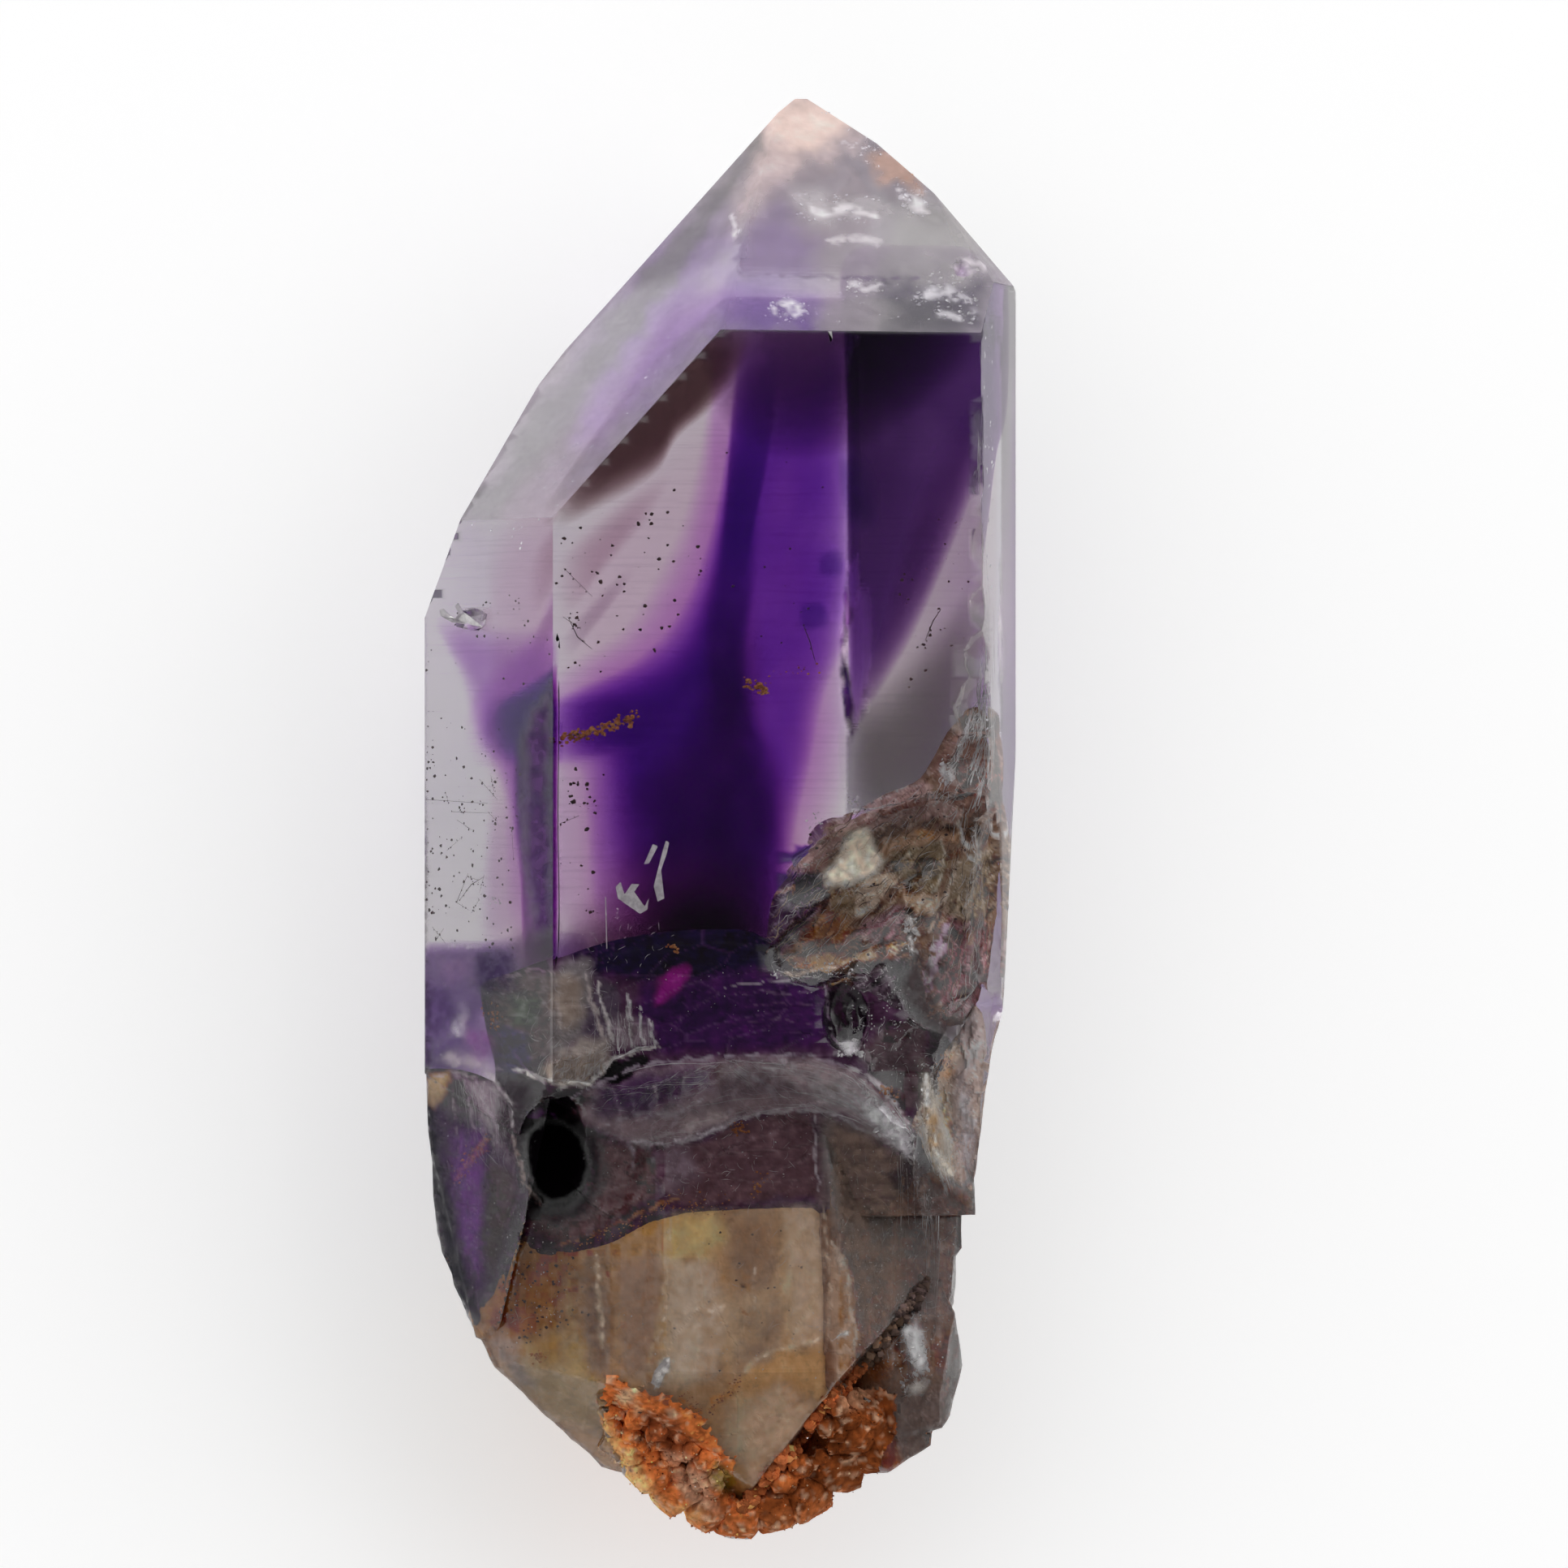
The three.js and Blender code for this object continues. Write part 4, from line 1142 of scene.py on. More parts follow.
# Milky quartz of the stem
STEM_OUTLINE = [
    (575, 1640), (600, 1588), (622, 1540), (650, 1500), (700, 1520), (749, 1512), (816, 1480), (900, 1476),
    (1010, 1470), (1022, 1540), (1024, 1620), (1026, 1690), (1030, 1733), (1016, 1780), (968, 1830),
    (930, 1880), (870, 1880), (800, 1850), (740, 1800), (690, 1760), (620, 1700),
]
STEM_AREAS = [
    ("left brown", (96, 70, 54), 1, 16,
     [(590, 1630), (612, 1570), (680, 1535), (720, 1530), (716, 1600), (690, 1650), (640, 1660)]),
    ("left foot", (140, 116, 84), 1, 14,
     [(640, 1660), (690, 1640), (744, 1660), (748, 1760), (700, 1735), (660, 1710)]),
    ("blue edge", (112, 104, 108), 0.8, 10,
     [(590, 1630), (640, 1650), (664, 1710), (640, 1700), (610, 1668)]),
    ("column", (120, 98, 84), 1, 10,
     [(716, 1545), (748, 1530), (760, 1600), (758, 1700), (730, 1690), (722, 1600)]),
    ("yellow", (178, 146, 98), 1, 12, [(826, 1494), (884, 1490), (890, 1530), (864, 1552), (826, 1546)]),
    ("rusty top", (140, 98, 62), 0.7, 8,
     [(760, 1512), (830, 1486), (920, 1486), (900, 1500), (840, 1502), (770, 1530)]),
    ("clear patch", (118, 94, 84), 1, 12,
     [(762, 1560), (812, 1556), (812, 1640), (800, 1700), (766, 1690)]),
    ("grey patch", (116, 96, 84), 0.9, 14,
     [(900, 1540), (960, 1550), (966, 1640), (930, 1680), (900, 1640)]),
    ("warm right", (146, 114, 88), 0.9, 14,
     [(960, 1484), (1012, 1480), (1020, 1680), (980, 1680), (966, 1590)]),
    ("end facet", (150, 110, 80), 1, 4,
     [(871, 1735), (917, 1700), (958, 1668), (1022, 1654), (1026, 1733), (1012, 1780), (960, 1822),
      (924, 1868), (870, 1832)]),
    ("end pale", (186, 150, 124), 0.8, 16,
     [(900, 1740), (960, 1710), (1000, 1740), (930, 1810), (896, 1790)]),
    ("pale band", (164, 142, 122), 0.8, 12, [(832, 1560), (862, 1552), (860, 1700), (812, 1700)]),
    ("pale right", (166, 138, 114), 0.8, 16,
     [(960, 1490), (1004, 1486), (1012, 1560), (1004, 1640), (976, 1650)]),
    ("pale cloud", (158, 130, 106), 0.7, 18, [(880, 1600), (950, 1590), (940, 1650), (890, 1670)]),
    ("shade", (104, 80, 66), 0.7, 16, [(900, 1500), (960, 1500), (956, 1560), (908, 1572)]),
    ("grey shade", (110, 94, 88), 0.8, 14, [(716, 1600), (756, 1590), (764, 1700), (730, 1706)]),
    ("pale foot", (168, 144, 116), 0.7, 16, [(648, 1680), (700, 1690), (730, 1750), (690, 1740)]),
]
STEM_STROKES = [
    ("pale rib", (168, 150, 132), 0.9, 5.0, [(736, 1546), (738, 1600), (744, 1660)]),
    ("rib shade", (92, 72, 60), 0.6, 4.0, [(752, 1560), (754, 1620), (756, 1680)]),
    ("edge line", (160, 136, 112), 0.6, 3.0, [(828, 1500), (822, 1580), (806, 1660), (796, 1706)]),
    ("flake", (206, 196, 190), 1.0, 9.0, [(824, 1674), (816, 1692), (808, 1706)]),
    ("facet edge", (176, 146, 120), 0.9, 3.0,
     [(871, 1733), (902, 1706), (917, 1690), (946, 1666), (1020, 1650)]),
    ("facet rust", (150, 92, 56), 0.9, 5.0, [(874, 1728), (896, 1716), (912, 1700)]),
    ("rust drip", (150, 86, 48), 0.9, 5.0, [(836, 1722), (846, 1732), (866, 1740)]),
    ("right edge", (176, 150, 126), 0.7, 3.0, [(1014, 1480), (1018, 1560), (1020, 1680)]),
    ("brown patch", (118, 84, 56), 0.7, 9.0, [(890, 1575), (920, 1570), (922, 1590)]),
    ("black dot", (30, 18, 20), 1.0, 3.4, [(914, 1580), (915, 1588)]),
    ("brown dot", (104, 60, 36), 0.9, 4.0, [(914, 1615), (920, 1620)]),
    ("hair 1", (176, 158, 142), 0.6, 1.6, [(836, 1620), (862, 1612), (884, 1616)]),
    ("hair 2", (176, 158, 142), 0.6, 1.6, [(860, 1560), (870, 1590), (866, 1610)]),
    ("olive", (120, 104, 52), 0.8, 6.0, [(896, 1806), (904, 1822), (892, 1834)]),
    ("specks line", (84, 54, 40), 0.7, 4.0, [(690, 1545), (749, 1521), (810, 1492), (840, 1488)]),
    ("left fold", (150, 128, 100), 0.6, 5.0, [(700, 1580), (708, 1640), (736, 1720)]),
    ("left fold 2", (120, 98, 76), 0.6, 5.0, [(680, 1600), (690, 1660), (716, 1726)]),
]
STEM_GROUND = (130, 102, 82)
STEM_WARMTH = np.array([1.02, 0.84, 0.68])


def stem_tones(q):
    seen = painted(q, STEM_GROUND, STEM_AREAS, STEM_STROKES, seed=13, wobble=1.4) * STEM_WARMTH
    upright = fibrous(q, turn=78, length=60, width=9, seed=119)
    slanting = fibrous(q, turn=30, length=16, width=5, seed=121)
    seen *= np.exp(0.16 * upright + 0.14 * slanting)[:, None]
    return broken(q, seen, size=50, turn=82, stretch=3.6, contrast=0.07, grain=0.16, glint=0.14, seed=41)


cloud("clouded_stem", STEM_OUTLINE, stem_tones, step=2.6, shallow=0.35, deep=7.0, crumple=0.03, rim=24)

# Violet lobe at the left
LOBE_OUTLINE = [
    (510, 1325), (562, 1318), (606, 1332), (632, 1352), (644, 1420), (650, 1480), (630, 1556), (604, 1626),
    (570, 1640), (536, 1560), (516, 1440), (508, 1380),
]
LOBE_AREAS = [
    ("left edge", (38, 34, 44), 1, 10,
     [(524, 1360), (540, 1370), (548, 1440), (566, 1530), (584, 1600), (560, 1560), (530, 1440)]),
    ("violet", (64, 42, 72), 1, 14,
     [(560, 1400), (600, 1380), (604, 1460), (596, 1540), (582, 1570), (566, 1500)]),
    ("bright violet", (86, 58, 100), 0.8, 10, [(566, 1440), (590, 1430), (588, 1530), (574, 1540)]),
    ("tan", (142, 112, 86), 1, 6, [(524, 1326), (552, 1322), (554, 1345), (536, 1368), (524, 1360)]),
    ("grey glass", (70, 58, 66), 1, 8, [(608, 1370), (632, 1380), (640, 1470), (618, 1520), (606, 1450)]),
    ("pale top", (128, 112, 122), 0.8, 8,
     [(560, 1322), (606, 1336), (624, 1360), (600, 1390), (580, 1350)]),
]
LOBE_STROKES = [
    ("crest", (140, 126, 132), 0.7, 2.6, [(530, 1326), (556, 1320), (584, 1326), (608, 1340), (626, 1362)]),
    ("side", (116, 102, 108), 0.6, 3.0, [(626, 1362), (634, 1410), (634, 1450)]),
    ("fibre 1", (140, 124, 136), 0.6, 2.0, [(572, 1330), (582, 1370), (588, 1410)]),
    ("fibre 2", (150, 134, 142), 0.6, 2.0, [(590, 1336), (602, 1376), (612, 1420)]),
    ("fibre 3", (130, 114, 122), 0.6, 2.0, [(556, 1330), (562, 1370), (566, 1420)]),
    ("rust", (160, 96, 62), 1.0, 5.0, [(562, 1456), (572, 1438), (592, 1416), (600, 1405)]),
    # Dark fold: painted shade in a fold of the lobe
    ("dark fold", (34, 26, 40), 0.7, 4.0, [(600, 1420), (604, 1480), (596, 1540)]),
]


LOBE_GROUND = (54, 42, 54)


def lobe_tones(q):
    seen = painted(q, LOBE_GROUND, LOBE_AREAS, LOBE_STROKES, seed=17)
    seen *= np.exp(0.35 * fibrous(q, turn=104, length=34, width=6, seed=123))[:, None]
    return broken(q, seen, size=26, turn=80, stretch=4.0, contrast=0.08, grain=0.18, glint=0.3, seed=47)


cloud("clouded_lobe", LOBE_OUTLINE, lobe_tones, step=2.4, shallow=0.25, deep=2.5, crumple=0.06, rim=10,
      inner=LEFT_IN)


# Small closed shapes
def flake(centre, normal, size, thickness, rng, corners=6, along=None, stretch=1.0):
    """Thin plate with an uneven outline."""
    n = np.asarray(normal, float)
    n = n / np.linalg.norm(n)
    u = np.asarray(along if along is not None else rng.normal(size=3), float)
    u = u - (u @ n) * n
    u = u / np.linalg.norm(u)
    v = np.cross(n, u)
    turn = (rng.uniform(0, 0.6, corners) + np.arange(corners)) / corners * 2 * math.pi
    reach = rng.uniform(0.6, 1.0, corners) * size
    flat = [centre + u * (r * stretch * math.cos(t)) + v * (r * math.sin(t)) for r, t in zip(reach, turn)]
    return slab(flat, n, thickness)


def slab(flat, n, thickness):
    """Plate with a given outline."""
    k = len(flat)
    verts = [q + n * thickness / 2 for q in flat] + [q - n * thickness / 2 for q in flat]
    faces = [list(range(k)), list(range(2 * k - 1, k - 1, -1))]
    faces += [[i, i + k, (i + 1) % k + k, (i + 1) % k] for i in range(k)]
    return verts, faces


CHIP_THICKNESS = 0.05  # mm
CHIP_TILT = 0.01       # how far a chip's corners lie up or down, mm


def chip(outline, depth):
    """Plate drawn in view pixels, at an uneven depth below the surface."""
    points = []
    for i, q in enumerate(outline):
        at, n = surface(*q)
        points.append(at - n * (depth + CHIP_TILT * math.sin(i * 1.7)))
    normal = surface(*np.mean(outline, 0))[1]
    return slab(points, normal, CHIP_THICKNESS)


def rod(points, radii, sides=5):
    """Thin tapered fibre or rib along points."""
    points = [np.asarray(q, float) for q in points]
    verts, faces = [], []
    for i, (q, r) in enumerate(zip(points, radii)):
        ahead = points[min(i + 1, len(points) - 1)] - points[max(i - 1, 0)]
        ahead = ahead / (np.linalg.norm(ahead) + 1e-12)
        u = np.cross(ahead, [0.3, 0.1, 1.0])
        u = u / (np.linalg.norm(u) + 1e-12)
        v = np.cross(ahead, u)
        for k in range(sides):
            t = 2 * math.pi * k / sides
            verts.append(q + (u * math.cos(t) + v * math.sin(t)) * r)
    for i, k in itertools.product(range(len(points) - 1), range(sides)):
        a, b = i * sides + k, i * sides + (k + 1) % sides
        faces.append([a, b, b + sides, a + sides])
    faces.append(list(range(sides))[::-1])
    faces.append([len(verts) - sides + k for k in range(sides)])
    return verts, faces


def ball():
    bm = bmesh.new()
    bmesh.ops.create_icosphere(bm, subdivisions=1, radius=1)
    verts = np.array([v.co for v in bm.verts])
    faces = [[v.index for v in f.verts] for f in bm.faces]
    bm.free()
    return verts, faces


BALL_VERTS, BALL_FACES = ball()


def grain(centre, size, rng, squash=(1, 1, 1), uneven=0.3):
    """Small uneven grain."""
    verts = BALL_VERTS * (1 + rng.uniform(-uneven, uneven, (len(BALL_VERTS), 1))) * size * np.asarray(squash)
    return list(verts + centre), BALL_FACES


def gather(name, shapes, mat):
    """One piece from many small closed shapes."""
    verts, faces = [], []
    for more, ring in shapes:
        base = len(verts)
        verts += list(place(np.clip(more, LOW, HIGH)))
        faces += [[base + i for i in f] for f in ring]
    piece = new_piece(name, verts, faces, mat)
    turn_out(piece)
    return piece


def scatter(outline, count, rng):
    """Random view points inside an outline."""
    low, high = np.min(outline, 0), np.max(outline, 0)
    out = np.zeros((0, 2))
    while len(out) < count:
        q = rng.uniform(low, high, (count * 3, 2))
        out = np.concatenate([out, q[edge_points(outline, q)[1] < 0]])
    return out[:count]


def trail(points, count, rng, jitter):
    """Random view points near a line."""
    points = np.asarray(points, float)
    t = rng.uniform(0, len(points) - 1, count)
    i = np.minimum(t.astype(int), len(points) - 2)
    return points[i] + (points[i + 1] - points[i]) * (t - i)[:, None] + rng.normal(size=(count, 2)) * jitter


# White chips and sparkles: outline, depth below the surface
CHIPS = [
    ([(761, 1093), (767, 1087), (772, 1102), (781, 1089), (790, 1090), (784, 1099), (793, 1112),
      (797, 1117), (802, 1107), (800, 1121), (791, 1126), (772, 1113), (764, 1107)], 0.5),
    ([(796, 1065), (807, 1040), (813, 1043), (802, 1064)], 0.5),
    ([(823, 1036), (827, 1038), (824, 1052), (817, 1072), (821, 1107), (813, 1111), (808, 1092),
      (813, 1072), (819, 1049)], 0.5),
    ([(541, 751), (546, 750), (553, 757), (561, 762), (565, 756), (560, 747), (564, 743), (572, 755),
      (595, 772), (576, 769), (557, 767), (543, 759)], 0.03),
    ([(803, 1706), (806, 1690), (818, 1674), (826, 1672), (826, 1684), (818, 1698), (812, 1712)], 0.12),
    ([(1020, 408), (1025, 408), (1026, 418), (1023, 422)], 0.02),
]
# Upright needle inside the head: its ends, their radii and its depth in mm
NEEDLE = [(746, 1105), (749, 1218)]
NEEDLE_RADII = [0.022, 0.016]
NEEDLE_DEPTH = 0.5
FAN_TAPER = (1, 0.75, 0.45, 0.1)
# Fans of fibres: roots, tips, count, radius in mm, depth in mm, jitter in pixels
FANS = [
    ([(735, 1290), (752, 1294), (768, 1296), (788, 1292), (808, 1293)],
     [(726, 1195), (748, 1207), (772, 1219), (790, 1238), (803, 1252)], 12, 0.016, 0.18, 2),
    ([(664, 1322), (700, 1333), (726, 1333), (742, 1322)],
     [(678, 1292), (706, 1286), (730, 1282), (750, 1288)], 44, 0.018, 0.22, 3),
    ([(560, 1330), (600, 1342), (628, 1366)], [(580, 1420), (606, 1430), (636, 1430)], 26, 0.012, 0.18, 4),
    ([(1150, 990), (1175, 940), (1195, 890)], [(1165, 960), (1196, 900), (1208, 830)], 46, 0.022, 0.15, 4),
    ([(1205, 1000), (1200, 940), (1206, 860)], [(1222, 940), (1218, 860), (1210, 780)], 46, 0.030, 0.12, 4),
    ([(1140, 1330), (1150, 1360), (1160, 1400)], [(1150, 1380), (1166, 1420), (1176, 1450)], 36, 0.035,
     0.15, 3),
    ([(1100, 1420), (1134, 1460), (1160, 1500)], [(1100, 1560), (1130, 1600), (1156, 1640)], 24, 0.018,
     0.25, 4),
]
# Sparkles: outline, count, size in mm
SPARKLES = [
    ([(1030, 1283), (1062, 1280), (1066, 1302), (1035, 1304)], 26, 0.09),
    ([(1060, 1345), (1085, 1355), (1130, 1410), (1122, 1436), (1078, 1396)], 70, 0.12),
    ([(1114, 1630), (1138, 1640), (1146, 1690), (1128, 1694), (1116, 1660)], 60, 0.13),
    ([(1112, 1704), (1146, 1700), (1138, 1720), (1114, 1722)], 26, 0.11),
    ([(948, 1188), (1060, 1184), (1050, 1200), (950, 1208)], 70, 0.05),
    ([(1040, 1200), (1110, 1190), (1150, 1330), (1100, 1350), (1050, 1290)], 110, 0.04),
    ([(1112, 1130), (1132, 1128), (1128, 1180), (1112, 1176)], 26, 0.08),
    ([(1046, 980), (1064, 978), (1060, 994), (1046, 994)], 12, 0.09),
    ([(994, 1004), (1012, 1000), (1014, 1022), (996, 1022)], 16, 0.05),
    ([(1160, 936), (1176, 930), (1172, 968), (1160, 964)], 16, 0.09),
    ([(745, 1116), (770, 1118), (768, 1134), (748, 1132)], 8, 0.04),
    ([(1130, 1310), (1156, 1316), (1176, 1440), (1150, 1430)], 40, 0.10),
    ([(600, 1100), (622, 1098), (622, 1116), (602, 1116)], 10, 0.06),
    ([(560, 1640), (620, 1560), (1160, 1560), (1160, 1700), (640, 1700)], 90, 0.030),
    ([(1030, 1400), (1110, 1430), (1186, 1500), (1180, 1700), (1060, 1690), (1036, 1560)], 300, 0.038),
    ([(600, 1170), (1000, 1190), (1000, 1290), (640, 1290)], 46, 0.022),
    ([(530, 1180), (610, 1170), (610, 1310), (530, 1310)], 40, 0.030),
    ([(530, 1340), (630, 1360), (640, 1500), (580, 1620)], 60, 0.026),
    ([(620, 1480), (700, 1490), (700, 1640), (600, 1650)], 80, 0.030),
    ([(640, 1350), (1100, 1320), (1160, 1460), (700, 1500)], 120, 0.028),
    ([(690, 1140), (1000, 1150), (1000, 1290), (700, 1290)], 30, 0.020),
    ([(1064, 1352), (1098, 1364), (1130, 1400), (1120, 1426), (1084, 1396)], 150, 0.045),
    ([(1136, 1308), (1168, 1322), (1184, 1440), (1166, 1470), (1136, 1400)], 170, 0.042),
    ([(820, 1390), (905, 1376), (1000, 1360), (1000, 1370), (900, 1392), (830, 1412)], 60, 0.022),
]
# Strands along a band: its two edges, count, radius in mm, depth in mm, share of the way where they start
STRANDS = [
    ([(712, 1345), (760, 1325), (820, 1308), (880, 1302), (940, 1300), (1000, 1303), (1050, 1317),
      (1090, 1345), (1122, 1386)],
     [(736, 1385), (770, 1401), (815, 1410), (860, 1401), (902, 1382), (950, 1368), (1000, 1364),
      (1050, 1380), (1112, 1415)], 44, 0.010, 0.22, 0.0),
    ([(940, 1300), (1000, 1303), (1050, 1317), (1090, 1345), (1122, 1386)],
     [(950, 1368), (1000, 1364), (1050, 1380), (1080, 1398), (1112, 1415)], 46, 0.016, 0.20, 0.1),
    ([(1140, 1320), (1156, 1360), (1170, 1420), (1180, 1460)],
     [(1122, 1360), (1134, 1400), (1150, 1440), (1168, 1476)], 60, 0.020, 0.15, 0.0),
    ([(1206, 650), (1212, 760), (1214, 880), (1210, 960)],
     [(1222, 650), (1228, 760), (1228, 880), (1224, 960)], 40, 0.020, 0.06, 0.0),
    ([(1203, 400), (1207, 500), (1202, 600), (1206, 700)],
     [(1212, 400), (1214, 500), (1213, 600), (1216, 700)], 18, 0.008, 0.04, 0.0),
]
BRIGHT = 165           # strokes at least this pale also catch the light along their length
ALL_STROKES = BREAK_STROKES + SKIRT_STROKES + SMOKY_STROKES + PALE_STROKES + STEM_STROKES + LOBE_STROKES


def along_line(points, t):
    """Points at shares t of the way along a line."""
    points = np.asarray(points, float)
    t = np.clip(np.asarray(t, float), 0, 1) * (len(points) - 1)
    i = np.minimum(t.astype(int), len(points) - 2)
    return points[i] + (points[i + 1] - points[i]) * (t - i)[..., None]


def strand(line, radius, depth):
    """Tapered fibre just under the surface along view points."""
    points = [at - n * depth for at, n in surfaces(line)]
    if len(points) < 2:
        return []
    taper = np.sin(np.linspace(0.15, math.pi - 0.15, len(points)))
    return [rod(points, radius * taper, 4)]


def bright_edges(rng):
    """Broken white lines along the pale strokes of the clouded bodies: painted highlights where their edges
    catch the light.
    """
    shapes = []
    for _, tone, _, width, points in ALL_STROKES:
        if np.mean(tone) < BRIGHT:
            continue
        length = np.linalg.norm(np.diff(points, axis=0), axis=1).sum()
        for _ in range(int(2 + length / 9)):
            start = rng.uniform(-0.05, 1)
            span = rng.uniform(6, 26) / length
            line = along_line(points, np.linspace(start, start + span, 4))
            line = line + rng.normal(size=2) * 0.35 * width
            shapes += strand(line, rng.uniform(0.008, 0.030), rng.uniform(0.05, 0.16))
    return shapes


def banded(rng):
    """Strands that follow a band between its two edges."""
    shapes = []
    for upper, lower, count, radius, depth, low in STRANDS:
        for _ in range(count):
            start = rng.uniform(low, 0.92)
            t = np.linspace(start, min(start + rng.uniform(0.06, 0.35), 1), 7)
            side = rng.uniform(0.0, 1.0) + 0.5 * (t - t[0]) + 0.02 * rng.normal()
            side = np.clip(side, 0, 1)[:, None]
            line = along_line(upper, t) * (1 - side) + along_line(lower, t) * side
            shapes += strand(line, radius * rng.uniform(0.4, 1.4), depth * rng.uniform(0.4, 1.0))
    return shapes


# Fine lines of the breaks: outline, count, direction in degrees, its spread, length in pixels, radius
# and depth in mm
WHITE_LINES = [
    ([(1000, 1030), (1060, 1000), (1140, 970), (1160, 1000), (1150, 1160), (1060, 1180), (960, 1190),
      (950, 1120)], 130, 46, 14, 22, 0.010, 0.30),
    ([(1165, 1000), (1222, 990), (1222, 1200), (1170, 1240)], 60, 80, 8, 30, 0.010, 0.30),
    ([(945, 1184), (1060, 1180), (1100, 1176), (1090, 1206), (950, 1208)], 60, 10, 40, 9, 0.010, 0.25),
    ([(1040, 1210), (1110, 1190), (1150, 1300), (1100, 1340), (1050, 1290)], 60, 55, 50, 12, 0.008, 0.25),
    ([(1150, 990), (1175, 940), (1206, 860), (1224, 880), (1224, 1000), (1180, 1010)], 70, 66, 16, 24,
     0.013, 0.22),
    ([(612, 1205), (730, 1190), (765, 1270), (740, 1330), (650, 1310)], 60, 60, 50, 14, 0.007, 0.18),
    ([(735, 1240), (806, 1262), (812, 1290), (757, 1300)], 50, 96, 8, 18, 0.007, 0.14),
    ([(664, 1318), (690, 1300), (750, 1288), (740, 1324), (700, 1332)], 50, 70, 30, 12, 0.010, 0.14),
    ([(720, 1362), (800, 1330), (900, 1310), (900, 1370), (800, 1404)], 50, 22, 18, 26, 0.008, 0.2),
    ([(900, 1306), (1050, 1320), (1120, 1396), (1060, 1384), (900, 1370)], 70, -36, 12, 30, 0.009, 0.2),
    ([(810, 1410), (1000, 1370), (1010, 1460), (820, 1480)], 60, 60, 60, 12, 0.006, 0.2),
    ([(1030, 1400), (1120, 1440), (1186, 1500), (1170, 1640), (1060, 1690), (1036, 1540)], 170, 72, 40, 12,
     0.007, 0.3),
    ([(1110, 1630), (1146, 1640), (1146, 1720), (1112, 1722)], 60, 60, 50, 12, 0.014, 0.12),
    ([(560, 1330), (630, 1360), (640, 1430), (590, 1440)], 50, 108, 14, 26, 0.009, 0.14),
    ([(830, 1500), (1010, 1480), (1010, 1640), (840, 1700)], 60, 30, 70, 14, 0.006, 0.3),
    ([(690, 1140), (830, 1140), (830, 1190), (690, 1200)], 40, 70, 50, 10, 0.007, 0.15),
]
BREAK_MIDDLE = [
    (1000, 1030), (1060, 1000), (1140, 970), (1180, 1000), (1160, 1160), (1060, 1180), (960, 1190),
    (950, 1120),
]
BREAK_SIDE = [(1165, 1000), (1222, 990), (1222, 1220), (1170, 1250)]
TAN_LINES = [
    (BREAK_MIDDLE, 150, 44, 12, 30, 0.014, 0.35),
    (BREAK_SIDE, 70, 80, 8, 34, 0.014, 0.35),
    ([(590, 1630), (680, 1560), (800, 1540), (800, 1700), (700, 1700)], 60, 70, 40, 16, 0.010, 0.25),
    ([(664, 1310), (750, 1290), (740, 1330), (690, 1334)], 40, 60, 40, 14, 0.012, 0.2),
]
DARK_LINES = [
    (BREAK_MIDDLE, 90, 48, 14, 24, 0.014, 0.28),
    (BREAK_SIDE, 50, 82, 8, 30, 0.014, 0.28),
    ([(1130, 1320), (1160, 1330), (1180, 1440), (1150, 1430)], 24, 110, 12, 20, 0.012, 0.10),
    ([(1110, 1620), (1150, 1630), (1150, 1720), (1110, 1730)], 40, 60, 50, 12, 0.014, 0.10),
]


def hatched(rows, rng):
    """Short lines scattered inside outlines, near one direction."""
    shapes = []
    for outline, count, turn, spread, length, radius, depth in rows:
        for q in scatter(outline, count, rng):
            a = math.radians(turn + spread * rng.normal())
            reach = length * rng.uniform(0.3, 1.3)
            share = np.linspace(-0.5, 0.5, 4)[:, None]
            bow = rng.normal() * 0.12 * reach * (1 - 4 * share * share)
            ahead = np.array([math.cos(a), -math.sin(a)])
            aside = np.array([math.sin(a), math.cos(a)])
            line = q + ahead * reach * share + aside * bow
            shapes += strand(line, radius * rng.uniform(0.4, 1.3), depth * rng.uniform(0.3, 1.0))
    return shapes


def fanned(rng):
    """Tapered fibres that spread from roots to tips, each a random share of the way."""
    shapes = []
    for root, tip, count, radius, depth, jitter in FANS:
        for t in rng.uniform(0, 1, count):
            start = along_line(root, t) + rng.normal(size=2) * jitter
            end = along_line(tip, t) + rng.normal(size=2) * jitter
            reach = rng.uniform(0.2, 1.0)
            side = np.array([rng.normal() * 3, 0])
            line = [start + (end - start) * reach * w + side * math.sin(w * math.pi)
                    for w in np.linspace(0, 1, len(FAN_TAPER))]
            points = [at + FRONT_IN * depth for at, _ in surfaces(line)]
            thick = radius * rng.uniform(0.3, 1.0)
            if len(points) == len(FAN_TAPER):
                shapes.append(rod(points, [thick * share for share in FAN_TAPER], 4))
    return shapes


def sparkles(rng):
    """Small white plates that lean at random, just under the surface: painted glints."""
    shapes = []
    for outline, count, size in SPARKLES:
        for at, n in surfaces(scatter(outline, count, rng)):
            lean = n + rng.normal(size=3) * 0.5
            centre = at - n * rng.uniform(0.03, 0.2)
            shapes.append(flake(centre, lean, size * rng.uniform(0.3, 1.0), 0.02, rng, 5, stretch=1.6))
    return shapes


# White flaws and painted highlights: the chips and the needle are flaws; the bright edges and sparkles stand
# in for light caught by edges and facets
def white_flaws_and_highlights(rng):
    shapes = [chip(outline, depth) for outline, depth in CHIPS]
    shapes += bright_edges(rng) + banded(rng) + fanned(rng)
    shapes.append(rod([behind(*q, NEEDLE_DEPTH) for q in NEEDLE], NEEDLE_RADII))
    shapes += sparkles(rng) + hatched(WHITE_LINES, rng)
    gather("white_flaws_and_highlights", shapes, grainy("white_flaw", WHITE_TONES, 4.0, 0.25))


def tan_fibres(rng):
    gather("tan_fibres", hatched(TAN_LINES, rng), grainy("tan_fibre", TAN_TONES, 3.0, 0.4))


flaw_rng = np.random.default_rng(12)
white_flaws_and_highlights(flaw_rng)
tan_fibres(flaw_rng)

